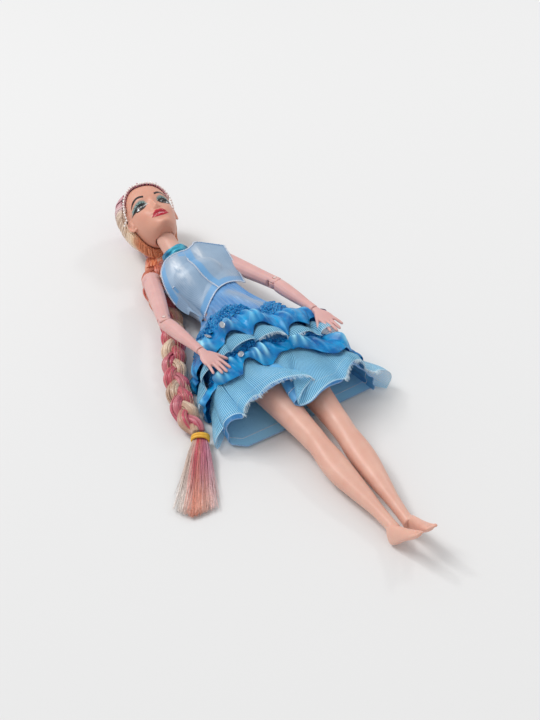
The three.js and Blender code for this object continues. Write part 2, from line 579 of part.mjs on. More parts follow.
function makeArm(name, side) {
  const origin = new THREE.Vector3(side * shoulderSpacing / 2, shoulder.y, shoulder.z);
  const lowerSpread = armSpreadAngle[name] - elbowBendAngle[name];
  const armReach = upperArmLength * Math.cos(armSpreadAngle[name] * rad)
    + forearmLength * Math.cos(lowerSpread * rad);
  const swing = Math.asin((wristHeight[name] - shoulder.z) / armReach) / rad;
  const hinge = new THREE.Vector3(0, Math.sin(swing * rad), Math.cos(swing * rad));
  const upperDirection = armDirection(side, armSpreadAngle[name], swing);
  const lowerDirection = armDirection(side, lowerSpread, swing);
  const elbow = origin.clone().addScaledVector(upperDirection, upperArmLength);
  const wrist = elbow.clone().addScaledVector(lowerDirection, forearmLength);
  const upperFrame = boneFrame(origin, upperDirection, hinge);
  const lowerFrame = boneFrame(elbow, lowerDirection, hinge);
  const bend = side;

  // Peg: flange and stem in the torso wall, tongue in the arm
  const tongueHalf = shoulderBallRadius * 0.2;
  const tongueWidth = shoulderBallRadius * 0.36;
  const centre = shoulderSpacing / 2;
  const flangeAt = pocketInner + gap;
  const pegBody = joined(rod('x', pegFlangeRadius, flangeAt, flangeAt + pegFlangeThickness),
    rod('x', pegStemRadius, flangeAt, shoulderFace - gap));
  const pegTongue = joined(
    box([shoulderFace - gap * 2, -tongueWidth, -tongueHalf], [centre, tongueWidth, tongueHalf]),
    at(rod('z', tongueWidth, -tongueHalf, tongueHalf, 16), centre, 0, 0));
  const pegHole = at(rod('z', shoulderPinRadius + runningGap, -overrun, overrun, 12), centre, 0, 0);
  const pegShape = toGeometry(pegBody.add(pegTongue).subtract(toSolid(pegHole)));
  const pegFrame = new THREE.Matrix4().makeTranslation(0, shoulder.y, shoulder.z)
    .multiply(new THREE.Matrix4().makeRotationX(-swing * rad));
  if (side < 0) pegShape.rotateZ(Math.PI);
  add(`shoulder_peg_${name}`, pegShape, innerPlastic(), pegFrame);
  const pinHalf = shoulderBallRadius * 0.78;
  add(`shoulder_pin_${name}`, rod('x', shoulderPinRadius, -pinHalf, pinHalf, 12), steel(), upperFrame);

  // Upper arm: a ball at the shoulder, slotted for the peg, and a fork at the elbow
  let upper = joined(boneLoft(upperArmShares, upperArmLength, armRadius, armSides),
    ball(shoulderBallRadius, [0, 0, 0], roundSides));
  const slotHalf = tongueHalf + gap;
  const slotWidth = tongueWidth + gap;
  const far = shoulderBallRadius * 2;
  const rounding = slotWidth * Math.SQRT1_2;
  const fan = [[far, slotWidth], [0, slotWidth], [-rounding, rounding], [-slotWidth, 0],
    [-slotWidth, -far], [far, -far]];
  const slotOutline = fan.map(([medial, along]) => [medial * bend, along]);
  upper = upper.subtract(toSolid(prismAlongX(slotOutline, -slotHalf, slotHalf)));
  const shoulderHole = rod('x', shoulderPinRadius + runningGap, -pinHalf - gap, pinHalf + gap, 12);
  upper = upper.subtract(toSolid(shoulderHole));
  const reach = armRadius * 3;
  const cutHalf = armRadius * 2;
  const upperMitre = toSolid(at(prismAlongX(mitreOutline(bend, elbowTravel, reach, 0), -cutHalf, cutHalf),
    0, 0, upperArmLength));
  const forkTip = toSolid(at(rod('x', elbowRadius, -cutHalf, cutHalf), 0, 0, upperArmLength))
    .intersect(toSolid(boneLoft(upperArmShares, upperArmLength, armRadius, armSides)));
  upper = upper.subtract(upperMitre).add(forkTip);
  const forkSlot = joined(at(rod('x', elbowRadius + gap, -tongueHalfThickness - gap,
    tongueHalfThickness + gap), 0, 0, upperArmLength));
  upper = upper.subtract(forkSlot);
  upper = upper.subtract(toSolid(at(rod('x', elbowPinRadius + runningGap, -cutHalf, cutHalf, 14),
    0, 0, upperArmLength)));
  add(`upper_arm_${name}`, upper, armPlastic(), upperFrame);
  const elbowPinHalf = armRadius * 0.74;
  const elbowPinRod = rod('x', elbowPinRadius, -elbowPinHalf, elbowPinHalf, 14);
  add(`elbow_pin_${name}`, at(elbowPinRod, 0, 0, upperArmLength),
    steel(), upperFrame);

  // Forearm: a round tongue in the fork, a mitre on the bending side, a socket for the hand
  let lower = toSolid(boneLoft(forearmShares, forearmLength, armRadius, armSides));
  const above = mitreOutline(bend, elbowTravel, reach, 0).map(([y, z]) => [y, gap - z]);
  lower = lower.subtract(toSolid(prismAlongX(above, -cutHalf, cutHalf)));
  lower = lower.subtract(toSolid(rod('x', elbowRadius + gap, -cutHalf, cutHalf)));
  const neckWidth = elbowRadius * 0.62;
  const tongue = joined(rod('x', elbowRadius, -tongueHalfThickness, tongueHalfThickness),
    box([-tongueHalfThickness, -neckWidth, 0], [tongueHalfThickness, neckWidth, elbowRadius * 1.5]));
  lower = lower.add(tongue);
  lower = lower.subtract(toSolid(rod('x', elbowPinRadius + runningGap, -overrun, overrun, 14)));
  const socket = rod('z', wristPegRadius + runningGap, forearmLength - wristPegLength - gap,
    forearmLength + overrun, 12);
  lower = lower.subtract(toSolid(socket));
  add(`forearm_${name}`, lower, armPlastic(), lowerFrame);

  // Hand: palm, thumb, first finger, two joined fingers and little finger
  const handFrame = lowerFrame.clone()
    .multiply(new THREE.Matrix4().makeTranslation(0, 0, forearmLength));
  const handTurn = side < 0 ? handTurnAngle[name] * rad : -handTurnAngle[name] * rad;
  const bent = new THREE.Matrix4().makeRotationX(handTurn)
    .multiply(new THREE.Matrix4().makeRotationY(-handDroopAngle[name] * rad));
  const hand = makeHand(bend).applyMatrix4(bent);
  const peg = rod('z', wristPegRadius, -wristPegLength, handLength * 0.12, 12);
  const handSolid = toSolid(hand)
    .subtract(toSolid(box([-armRadius, -armRadius, -armRadius], [armRadius, armRadius, 0])))
    .add(toSolid(peg));
  add(`hand_${name}`, handSolid, armPlastic(), handFrame);
}

const palmShares = [[-0.06, 0.105, 0.095], [0.08, 0.115, 0.095], [0.25, 0.19, 0.085], [0.45, 0.21, 0.075],
  [0.56, 0.19, 0.06]];
const fingerShares = [
  { place: 0.155, start: 0.5, length: 0.37, radius: 0.05, fan: 9 },
  { place: 0.03, start: 0.5, length: 0.44, radius: 0.068, fan: 1 },
  { place: -0.135, start: 0.48, length: 0.36, radius: 0.045, fan: -10 },
  { place: 0.13, start: 0.22, length: 0.42, radius: 0.052, fan: 32 },
];
const fingerSides = 6;
const palmSquareness = 2.3;

function makeHand(thumbSide) {
  let hand = toSolid(loft(palmShares.map(([place, across, thick]) => sectionRing(
    new THREE.Vector3(0, 0, place * handLength), across * handLength, thick * handLength,
    thick * handLength, 12, palmSquareness, boneRingAxes))));
  for (const { place, start, length, radius, fan } of fingerShares) {
    const finger = new THREE.CapsuleGeometry(radius * handLength, length * handLength, 2, fingerSides);
    finger.rotateX(Math.PI / 2);
    finger.translate(0, 0, length * handLength / 2);
    finger.rotateX(-fan * thumbSide * rad);
    finger.translate(0, place * handLength * thumbSide, start * handLength);
    hand = hand.add(toSolid(finger));
  }
  return toGeometry(hand);
}

// Legs: places along the bone, then half width, front and back depth and shift outward as shares of
// the hip radius
const thighShares = [[0.02, 0.985, 0.96, 0.96], [0.12, 0.98, 0.95, 0.97], [0.3, 0.92, 0.9, 0.92],
  [0.5, 0.83, 0.82, 0.82], [0.7, 0.71, 0.72, 0.71], [0.88, 0.61, 0.61, 0.6], [1, 0.575, 0.575, 0.56],
  [1.1, 0.56, 0.56, 0.56]];
const shinShares = [[-0.1, 0.57, 0.57, 0.56], [0, 0.575, 0.575, 0.55], [0.1, 0.545, 0.52, 0.54],
  [0.25, 0.63, 0.47, 0.76, 0.05], [0.4, 0.6, 0.44, 0.74, 0.06], [0.6, 0.48, 0.39, 0.53, 0.03],
  [0.8, 0.335, 0.32, 0.35],
  [0.94, 0.285, 0.3, 0.3], [1.04, 0.29, 0.32, 0.34]];
const footShares = [[-0.09, 0.2, 0.4, 0.06], [0, 0.27, 0.72, 0.16], [0.15, 0.29, 0.74, 0.19],
  [0.32, 0.28, 0.6, 0.14], [0.5, 0.29, 0.42, 0.14], [0.7, 0.28, 0.24, 0.17], [0.87, 0.26, 0.14, 0.14],
  [0.98, 0.22, 0.08, 0.08]];
const legSides = 14;
const legSquareness = 2.1;
const footSquareness = 2.2;

function legLoft(shares, from, to, side) {
  return loft(shares.map(([place, width, front, back, outward = 0]) => {
    const centre = from.clone().lerp(to, place);
    centre.x += side * outward * hipRadius;
    return sectionRing(centre, width * hipRadius, front * hipRadius, back * hipRadius, legSides,
      legSquareness);
  }));
}

function makeLeg(name, side) {
  const hip = new THREE.Vector3(side * hipSpacing / 2, 0, hipHeight);
  const kneeDrop = hipHeight - kneeHeight;
  const kneeSide = Math.sin(thighInwardAngle[name] * rad) * thighLength;
  const knee = new THREE.Vector3(hip.x - side * kneeSide,
    -Math.sqrt(thighLength ** 2 - kneeSide ** 2 - kneeDrop ** 2), kneeHeight);
  const ankleDrop = kneeHeight - ankleHeight;
  const ankleSide = Math.sin(shinInwardAngle[name] * rad) * shinLength;
  const ankle = new THREE.Vector3(knee.x - side * ankleSide,
    knee.y - Math.sqrt(shinLength ** 2 - ankleSide ** 2 - ankleDrop ** 2), ankleHeight);
  const cavityRadius = eyeRadius + gap * 2;
  const cavityHalf = eyeThickness * 1.5 + gap * 3;
  const reach = hipRadius * 2;
  const cutHalf = hipRadius * 3;
  const kneeOutline = mitreOutline(-1, kneeTravel, reach, 0);
  const boreHalf = rodWidth / 2 + gap;

  // Thigh: a round hip that turns beside the crotch, and the upper half of the knee mitre
  let thigh = joined(legLoft(thighShares, hip, knee, side), ball(hipRadius, hip.toArray(), legSides));
  const inner = crotchHalfWidth + gap;
  const crotchRoom = rod('x', hipSocketRadius + gap, -inner, inner, torsoSides);
  thigh = thigh.subtract(toSolid(at(crotchRoom, 0, 0, hipHeight)));
  const axleEnd = hipSpacing * 0.79;
  thigh = thigh.subtract(toSolid(at(rod('x', hipAxleRadius + runningGap, -axleEnd - gap, axleEnd + gap, 16),
    0, 0, hipHeight)));
  const turned = new THREE.Matrix4().makeBasis(new THREE.Vector3(1, 0, 0), new THREE.Vector3(0, 0, 1),
    new THREE.Vector3(0, -1, 0)).setPosition(knee);
  const below = prismAlongX(kneeOutline, -cutHalf, cutHalf).applyMatrix4(turned);
  const aboveOutline = kneeOutline.map(([y, z]) => [y, gap - z]);
  const above = prismAlongX(aboveOutline, -cutHalf, cutHalf).applyMatrix4(turned);
  const cavity = toSolid(at(rod('x', cavityRadius, -cavityHalf, cavityHalf), ...knee));
  const thighBore = boreAlong(hip.clone().lerp(knee, 0.2), knee, boreHalf, cavityRadius / 2);
  thigh = thigh.subtract(toSolid(below)).subtract(cavity).subtract(toSolid(thighBore));
  add(`thigh_${name}`, thigh, legVinyl());

  // Thigh rod and shin rod meet at an eye between two cheeks
  const eyeHalf = eyeThickness / 2;
  const cheekFrom = eyeHalf + gap;
  const cheekTo = cheekFrom + eyeHalf;
  const pinHole = toSolid(at(rod('x', kneePinRadius + runningGap, -overrun * 2, overrun * 2, 12), ...knee));
  const thighRod = toSolid(boreAlong(hip.clone().lerp(knee, 0.21), knee, rodThickness / 2, 0))
    .add(toSolid(at(rod('x', eyeRadius, -eyeHalf, eyeHalf), ...knee))).subtract(pinHole);
  add(`thigh_rod_${name}`, thighRod, innerPlastic());
  const pinHalf = cheekTo + gap;
  add(`knee_pin_${name}`, at(rod('x', kneePinRadius, -pinHalf, pinHalf, 12), ...knee), steel());
  const shinRodEnd = knee.clone().lerp(ankle, 0.72);
  const eyeRoom = toSolid(at(rod('x', eyeRadius + gap, -cheekFrom, cheekFrom), ...knee));
  const cheeks = toSolid(at(rod('x', eyeRadius, -cheekTo, cheekTo), ...knee));
  const bridge = box([-cheekTo, -eyeRadius * 1.75, -eyeRadius * 0.55], [cheekTo, 0, eyeRadius * 0.55]);
  const shinRod = toSolid(boreAlong(knee.clone().lerp(ankle, 0.04), shinRodEnd, rodThickness / 2, 0))
    .add(cheeks).add(toSolid(at(bridge, ...knee))).subtract(eyeRoom).subtract(pinHole);
  add(`shin_rod_${name}`, shinRod, innerPlastic());

  // Shin and foot: one moulding, with the lower half of the knee mitre
  const toeInward = Math.tan(footTurnAngle[name] * rad) * Math.cos(footAngle * rad);
  const toeDirection = new THREE.Vector3(-side * toeInward,
    -Math.cos(footAngle * rad), Math.sin(footAngle * rad));
  const heelOffset = new THREE.Vector3(side * hipRadius * 0.16, -hipRadius * 0.45, -hipRadius * 0.4);
  const heel = ankle.clone().add(heelOffset);
  const foot = footShares.map(([place, width, top, sole]) => {
    const centre = heel.clone().addScaledVector(toeDirection, place * footLength);
    const up = new THREE.Vector3(0, Math.sin(footAngle * rad), Math.cos(footAngle * rad));
    const [half, high, low] = [width, top, sole].map((share) => share * hipRadius);
    return sectionRing(centre, half, high, low, legSides, footSquareness,
      { x: worldRingAxes.x, y: up });
  });
  let shin = joined(legLoft(shinShares, knee, ankle, side), loft(foot));
  const shinCavity = toSolid(at(rod('x', cavityRadius, -cavityHalf, cavityHalf), ...knee));
  const bridgeRoom = box([-cheekTo - gap, -eyeRadius * 1.75 - gap, -eyeRadius * 0.55 - gap],
    [cheekTo + gap, 0, eyeRadius * 0.55 + gap]);
  const shinBore = boreAlong(knee, knee.clone().lerp(ankle, 0.73), boreHalf, 0);
  shin = shin.subtract(toSolid(above)).subtract(shinCavity).subtract(toSolid(at(bridgeRoom, ...knee)))
    .subtract(toSolid(shinBore));
  const table = box([-torsoLength, -torsoLength * 4, -torsoLength], [torsoLength, torsoLength, 0]);
  shin = shin.subtract(toSolid(table));
  add(`shin_${name}`, largest(shin), legVinyl());
}

// A square bar between two points, run on past the second.
function boreAlong(from, to, half, extra) {
  const direction = to.clone().sub(from);
  const length = direction.length() + extra;
  const bar = box([-half, -half, 0], [half, half, length]);
  const frame = boneFrame(from, direction, new THREE.Vector3(1, 0, 0));
  return bar.applyMatrix4(frame);
}

// Bodice: four panels round the torso, with armholes and a neck hole
const bodiceLowShare = 0.47;
const armholeRadius = shoulderBallRadius + armholeRoom;
const neckHoleRadius = neckRadius + neckHoleRoom;
const closureMiddleShare = 4 / 7;
const closureMiddle = torsoLength * closureMiddleShare;
const closureFrom = closureMiddle - closureLength / 2;
const closureTo = closureMiddle + closureLength / 2;

function makeBodice() {
  const from = bodiceLowShare * torsoLength;
  const reach = torsoLength * 2;
  let shell = toSolid(torsoForm(gap + bodiceThickness)).subtract(toSolid(torsoForm(gap)));
  const flatBack = torsoForm(gap + bodiceThickness).translate(0, 0, -backFlatness);
  shell = shell.add(toSolid(flatBack).subtract(toSolid(torsoForm(gap + bodiceThickness)))
    .intersect(toSolid(box([-reach, 0, -reach], [reach, reach, hipHeight / 2]))));
  shell = shell.intersect(toSolid(box([-reach, from, 0], [reach, torsoLength * 0.975, reach])));
  const neckHole = new THREE.CylinderGeometry(neckHoleRadius, neckHoleRadius, neckLength * 2, 24);
  neckHole.rotateX(neckLeanAngle * rad).translate(...neckBase);
  shell = shell.subtract(toSolid(neckHole));
  for (const [, side] of sides) {
    const lift = armholeRadius * 0.3;
    shell = shell.subtract(toSolid(ball(armholeRadius,
      [side * (shoulderSpacing / 2 + lift), shoulder.y + lift / 2, shoulder.z], torsoSides)));
  }
  const backSlit = closureWidth / 2 + gap;
  const slit = toSolid(box([-backSlit, -reach, -reach], [backSlit, reach, hipHeight / 2]));
  for (const [name, side] of sides) {
    const low = side < 0 ? -reach : gap / 2;
    const high = side < 0 ? -gap / 2 : reach;
    const frontBox = box([low, -reach, hipHeight + gap / 2], [high, reach, reach]);
    const backBox = box([low, -reach, -reach], [high, reach, hipHeight - gap / 2]);
    add(`bodice_front_${name}`, largest(shell.intersect(toSolid(frontBox))), satin(0x8da3c9));
    add(`bodice_back_${name}`, largest(shell.intersect(toSolid(backBox)).subtract(slit)), satin(0x8da3c9));
  }
  const half = closureWidth / 2;
  add('closure_hook_strip', box([-half, closureFrom, 0], [half, closureTo, closureThickness]),
    netCloth(0x6fa8dc));
  add('closure_loop_strip', box([-half, closureFrom, closureThickness + gap],
    [half, closureTo, closureThickness * 2 + gap]), netCloth(0x7fb2e2));
  const collarInner = neckRadius * 1.12 + gap;
  const collarFrom = neckLength * 0.17;
  const profile = [[collarInner, 0], [collarInner + collarThickness, 0],
    [collarInner + collarThickness, collarHeight], [collarInner, collarHeight], [collarInner, 0]];
  const collarPoints = profile.map(([r, h]) => new THREE.Vector2(r, h + collarFrom));
  const collar = new THREE.LatheGeometry(collarPoints, torsoSides);
  collar.rotateX(neckLeanAngle * rad).translate(...neckBase);
  const collarSolid = toSolid(collar).subtract(toSolid(torsoForm(gap)));
  add('collar_band', largest(collarSolid.subtract(shell)), satin(0x2493b8));
}

const largest = (solid) => solid.decompose().sort((a, b) => b.volume() - a.volume())[0];

// Skirt: closed rings of cloth, each with an outer and an inner surface
// A row holds a place down the dress, the half width on the right and left, and the top height, as shares.
const yokeShares = [[0.06, 0.31, 0.31, 0.845], [0.14, 0.335, 0.335, 0.86], [0.2, 0.41, 0.41, 0.9],
  [0.25, 0.5, 0.5, 0.955], [0.278, 0.53, 0.53, 0.98]];
const underskirtShares = [[0.33, 0.53, 0.53, 0.99], [0.45, 0.59, 0.6, 0.98], [0.64, 0.66, 0.68, 0.96],
  [0.8, 0.77, 0.83, 0.94], [0.92, 0.83, 0.93, 0.9], [1.03, 0.86, 0.99, 0.86]];
const upperRuffleShares = [[0.282, 0.575, 0.575, 1.03], [0.34, 0.63, 0.64, 1.08], [0.46, 0.69, 0.71, 1.13],
  [0.59, 0.75, 0.78, 1.15]];
const upperFrillShares = [[0.595, 0.755, 0.785, 1.15], [0.63, 0.775, 0.81, 1.14], [0.67, 0.795, 0.83, 1.13],
  [0.7, 0.81, 0.85, 1.12]];
const lowerRuffleShares = [[0.64, 0.7, 0.72, 1], [0.7, 0.745, 0.78, 1.03], [0.78, 0.8, 0.86, 1.04],
  [0.86, 0.85, 0.94, 1.05]];
const lowerFrillShares = [[0.865, 0.855, 0.945, 1.05], [0.92, 0.875, 0.98, 1.02], [0.98, 0.89, 1.02, 0.98],
  [1.05, 0.91, 1.07, 0.94]];
const skirtTopSteps = 18;
const skirtLowSteps = 5;
const skirtSquareness = 3;
const dressTopShare = 0.536;
const dressTop = torsoLength * dressTopShare;

function clothRing(shares, floor, foldDepth) {
  const topSteps = foldDepth ? ruffleFolds * 3 : skirtTopSteps;
  const count = topSteps + skirtLowSteps;
  const surfaces = [0, clothThickness].map((inset) => shares.map(([place, right, left, top], row) => {
    const y = dressTop - place * skirtLength;
    const growth = foldDepth * row / (shares.length - 1);
    return Array.from({ length: count }, (_, i) => {
      const onTop = i <= topSteps;
      const angle = onTop ? Math.PI * i / topSteps
        : Math.PI * (1 + (i - topSteps) / skirtLowSteps);
      const half = (Math.cos(angle) < 0 ? right : left) * skirtHalfWidth;
      const wave = onTop ? growth * (0.5 + 0.5 * Math.cos(2 * ruffleFolds * angle)) * Math.sin(angle) : 0;
      const x = (half - inset) * power(Math.cos(angle), 2 / skirtSquareness);
      const height = top * skirtHeight - floor - 2 * inset + wave;
      const lift = onTop ? height * power(Math.sin(angle), 2 / skirtSquareness) : 0;
      return new THREE.Vector3(x, y, floor + inset + Math.max(0, lift));
    });
  }));
  const rows = surfaces[0].length;
  const points = surfaces.flat(2);
  const index = (layer, row, i) => (layer * rows + row) * count + (i % count);
  const triangles = [];
  const quad = (a, b, c, d) => triangles.push([a, b, c], [a, c, d]);
  for (let i = 0; i < count; i++) {
    for (let row = 0; row + 1 < rows; row++) {
      quad(index(0, row, i), index(0, row, i + 1), index(0, row + 1, i + 1), index(0, row + 1, i));
      quad(index(1, row, i), index(1, row + 1, i), index(1, row + 1, i + 1), index(1, row, i + 1));
    }
    quad(index(0, 0, i), index(1, 0, i), index(1, 0, i + 1), index(0, 0, i + 1));
    quad(index(0, rows - 1, i), index(0, rows - 1, i + 1), index(1, rows - 1, i + 1), index(1, rows - 1, i));
  }
  return closedGeometry(points, triangles);
}

function makeSkirt() {
  const layer = clothThickness + gap;
  const closureTop = closureThickness * 2 + gap * 2;
  const slit = box([-closureWidth / 2 - gap, closureFrom - gap, -closureTop],
    [closureWidth / 2 + gap, torsoLength, closureTop]);
  const yoke = toSolid(clothRing(yokeShares, gap, 0)).subtract(toSolid(slit));
  add('skirt_yoke', yoke, netCloth(0x79a9dc));
  const table = gap;
  add('underskirt', clothRing(underskirtShares, table + 2 * layer, 0), satin(0x8fbfe8));
  add('ruffle_lower', clothRing(lowerRuffleShares, table + layer, ruffleDepth), satin(0x1f86d6));
  add('frill_lower', clothRing(lowerFrillShares, table + layer, ruffleDepth), netCloth(0x9fd0e6));
  add('ruffle_upper', clothRing(upperRuffleShares, table, ruffleDepth), satin(0x1f86d6));
  add('frill_upper', clothRing(upperFrillShares, table, ruffleDepth), netCloth(0x9fd0e6));
}

makeTorso();
makeHead();
makeHair();
makeBeads();
for (const [name, side] of sides) makeArm(name, side);
const axleHalf = hipSpacing * 0.79;
add('hip_axle', at(rod('x', hipAxleRadius, -axleHalf, axleHalf, 16), 0, 0, hipHeight), steel());
for (const [name, side] of sides) makeLeg(name, side);
makeBodice();
makeSkirt();

// The origin is the middle of the flat closure on the doll's back.
doll.position.y = -closureMiddle;

export default doll;
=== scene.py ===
# %% [markdown]
# # A jointed doll in a ruffled dress
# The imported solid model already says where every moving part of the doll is. This script dresses it:
# painted skin, combed and braided hair, beads along the hairline, and a party dress made of thin sheets
# of cloth. All points below are millimetres from the hip axis (along the doll) and from the table
# (upward), which is how a doll maker would measure a doll that lies on its back.

import json
import math

import bmesh
import bpy
import numpy as np
from mathutils import Matrix, Vector
from mathutils.bvhtree import BVHTree

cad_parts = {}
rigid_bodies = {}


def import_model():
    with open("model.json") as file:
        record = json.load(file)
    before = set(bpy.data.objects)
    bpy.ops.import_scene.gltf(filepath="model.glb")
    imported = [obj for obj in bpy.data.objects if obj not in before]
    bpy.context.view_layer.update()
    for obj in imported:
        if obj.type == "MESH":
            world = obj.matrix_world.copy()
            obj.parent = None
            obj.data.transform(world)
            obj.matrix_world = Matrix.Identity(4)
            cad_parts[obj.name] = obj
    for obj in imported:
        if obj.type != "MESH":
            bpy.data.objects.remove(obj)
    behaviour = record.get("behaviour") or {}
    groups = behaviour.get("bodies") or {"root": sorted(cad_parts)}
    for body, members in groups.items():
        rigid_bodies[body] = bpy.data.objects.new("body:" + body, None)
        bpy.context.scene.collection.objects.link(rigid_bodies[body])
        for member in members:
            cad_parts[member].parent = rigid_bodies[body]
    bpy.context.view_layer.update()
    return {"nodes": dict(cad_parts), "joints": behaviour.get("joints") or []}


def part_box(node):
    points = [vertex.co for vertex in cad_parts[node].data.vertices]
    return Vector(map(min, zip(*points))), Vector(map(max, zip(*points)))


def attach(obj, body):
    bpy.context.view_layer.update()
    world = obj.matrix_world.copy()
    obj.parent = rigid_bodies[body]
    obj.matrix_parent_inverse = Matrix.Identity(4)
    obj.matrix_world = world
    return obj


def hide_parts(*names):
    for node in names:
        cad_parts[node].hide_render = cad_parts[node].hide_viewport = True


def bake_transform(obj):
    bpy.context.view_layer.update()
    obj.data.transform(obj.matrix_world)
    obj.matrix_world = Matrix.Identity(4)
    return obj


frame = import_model()
joints = {joint["name"]: joint for joint in frame["joints"]}
MM = 0.001
leftward, headward, upward = (1, 0, 0), (0, 1, 0), (0, 0, 1)
hip_line = joints["hip_swing_right"]["pos_m"][1] / MM
hip_offset = np.array([0, hip_line, 0])


def placed(points):
    """Points in millimetres from the hip line, as metres in the frame."""
    return (np.asarray(points, float) + hip_offset) * MM


def measured(points):
    """Metres in the frame, as millimetres from the hip line."""
    return np.array(points) / MM - hip_offset


def joint_place(name):
    return measured(joints[name]["pos_m"])


def added(name, data):
    """A new object in the scene."""
    made = bpy.data.objects.new(name, data)
    bpy.context.scene.collection.objects.link(made)
    return made


def wear(piece, slot, body=None, *nodes):
    """Says which nodes a piece stands for and the body that it rides. The slot is not used."""
    if nodes:
        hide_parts(*nodes)
    if body:
        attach(piece, body)
    print(piece.name, len(piece.data.polygons), "faces")
    return piece


# %% [markdown]
# ## Camera
# The photograph looks down on the doll from its right foot. The place and lens below were found by
# matching the doll's joints to the photograph, so every later piece can be judged against it.

# %% Camera
camera_place = (-236.7, -404.6, 424.9)
camera_target = (3.71, -11.5, 10)
lens_length, film_width = 58.83, 36

camera_data = bpy.data.cameras.new("photo_camera")
camera_data.lens, camera_data.sensor_width, camera_data.clip_start = lens_length, film_width, 0.01
camera = added("photo_camera", camera_data)
eye, target = Vector(placed(camera_place)), Vector(placed(camera_target))
camera.matrix_world = (target - eye).to_track_quat("-Z", "Y").to_matrix().to_4x4()
camera.matrix_world.translation = eye
bpy.context.scene.camera = camera
print("camera is", round((target - eye).length, 3), "m from its target")

# %% [markdown]
# ## Helpers that turn points into pieces
# Most pieces here are lofts: rings of points along a bone, or a grid of points over a surface. A smooth
# curve through a few given rows gives the rings, so each table stays short enough to read.


# %% Curves and lines
def through(rows, count):
    """Points on a smooth curve that passes through every row."""
    rows = np.asarray(rows, float)
    ends = np.vstack([2 * rows[0] - rows[1], rows, 2 * rows[-1] - rows[-2]])
    place = np.linspace(0, len(rows) - 1, count)
    start = np.minimum(place.astype(int), len(rows) - 2)
    part = (place - start).reshape((-1,) + (1,) * (rows.ndim - 1))
    a, b, c, d = (ends[start + k] for k in range(4))
    return 0.5 * (2 * b + (c - a) * part + (2 * a - 5 * b + 4 * c - d) * part ** 2
                  + (3 * b - a - 3 * c + d) * part ** 3)


def ease(value, low, high):
    """0 below low, 1 above high, and smooth between."""
    share = np.clip((np.asarray(value, float) - low) / (high - low), 0, 1)
    return share * share * (3 - 2 * share)


def bump(value, middle, width):
    """A bell curve of height 1."""
    return np.exp(-((np.asarray(value, float) - middle) / width) ** 2)


def between(share, first, last):
    """Mixes two values, points or colours."""
    return first * (1 - share) + last * share


def read_off(where, table):
    """The value at a place in a table of (place, value) pairs."""
    return np.interp(where, *zip(*table))


def spans(line):
    """Distances from the start of a line to each of its points."""
    return np.concatenate([[0], np.cumsum(np.linalg.norm(np.diff(line, axis=0), axis=1))])


def point_at(distance, gone, line):
    """The points of a line at distances along it."""
    return np.stack([np.interp(distance, gone, line[:, k]) for k in range(3)], axis=-1)


def unit(vectors):
    return vectors / np.linalg.norm(vectors, axis=-1, keepdims=True)


def directions(line, up=upward):
    """Ahead, sideways and upward directions along a line."""
    way = unit(np.gradient(line, axis=0))
    side = unit(np.cross(up, way))
    return way, side, np.cross(way, side)


def circle(count):
    return np.arange(count) * 2 * math.pi / count


def squared(value, power):
    """A sine or cosine bent so that the circle it draws turns squarer."""
    return np.sign(value) * np.abs(value) ** (2 / power)


def section(centre, sizes, count, power=2.0, x_axis=leftward, y_axis=upward):
    """One ring of a rounded section. Sizes: a radius, or half widths to the sides, up and down."""
    across, up, low = np.broadcast_to(sizes, 3)
    turn = circle(count)
    side = across * squared(np.cos(turn), power)
    rise = np.where(np.sin(turn) < 0, low, up) * squared(np.sin(turn), power)
    return np.asarray(centre) + np.outer(side, x_axis) + np.outer(rise, y_axis)


print("a curve through three rows:", through([(0, 0), (1, 1), (2, 0)], 5).round(2).tolist())


# %% From points to a mesh piece
def set_tints(mesh, tints):
    colour = np.hstack([np.asarray(tints, float), np.ones((len(tints), 1))])
    mesh.color_attributes.new("tint", "FLOAT_COLOR", "POINT").data.foreach_set("color", colour.ravel())


def set_mark(mesh, name, values):
    mesh.attributes.new(name, "FLOAT", "POINT").data.foreach_set("value", np.ravel(values))


def make_piece(name, points, faces, material, tints=None, marks=None, maps=None):
    mesh = bpy.data.meshes.new(name)
    mesh.from_pydata(placed(points).tolist(), [], faces)
    mesh.materials.append(material)
    mesh.polygons.foreach_set("use_smooth", [True] * len(mesh.polygons))
    if tints is not None:
        set_tints(mesh, tints)
    for key, values in (marks or {}).items():
        set_mark(mesh, key, values)
    if maps is not None:
        corners = np.zeros(len(mesh.loops), int)
        mesh.loops.foreach_get("vertex_index", corners)
        mesh.uv_layers.new(name="cloth").data.foreach_set("uv", np.asarray(maps, float)[corners].ravel())
    mesh.update()
    return added(name, mesh)


def ring_faces(rows, count, closed=True, start=0):
    """Quads of a grid whose rows are rings, or open strips."""
    faces = []
    for row in range(rows - 1):
        a, b = start + row * count, start + (row + 1) * count
        for i in range(count if closed else count - 1):
            j = (i + 1) % count
            faces.append((a + i, a + j, b + j, b + i))
    return faces


def capped(rows, count, start=0):
    """Faces of a closed body of rings."""
    end = start + (rows - 1) * count
    return ring_faces(rows, count, start=start) + [tuple(range(start, start + count))[::-1],
                                                   tuple(range(end, end + count))]


def loft(rings):
    """Points and faces of a closed body through rings."""
    rings = np.asarray(rings, float)
    return rings.reshape(-1, 3), capped(*rings.shape[:2])


def ball(centre, radius, pole, around, down, gap, x_axis=leftward, y_axis=upward):
    """A ball as rings about its pole direction."""
    return loft([section(centre + np.asarray(pole) * radius * math.cos(angle), radius * math.sin(angle), around,
                         2, x_axis, y_axis) for angle in np.linspace(gap, math.pi - gap, down)])


def merged(*bodies):
    """Several (points, faces) bodies as one."""
    points, faces, count = [], [], 0
    for body_points, body_faces in bodies:
        faces += [tuple(i + count for i in face) for face in body_faces]
        points.append(np.asarray(body_points, float))
        count += len(body_points)
    return np.vstack(points), faces


print("a small ball has", len(ball(np.zeros(3), 1, upward, 12, 8, 0.1)[1]), "faces")


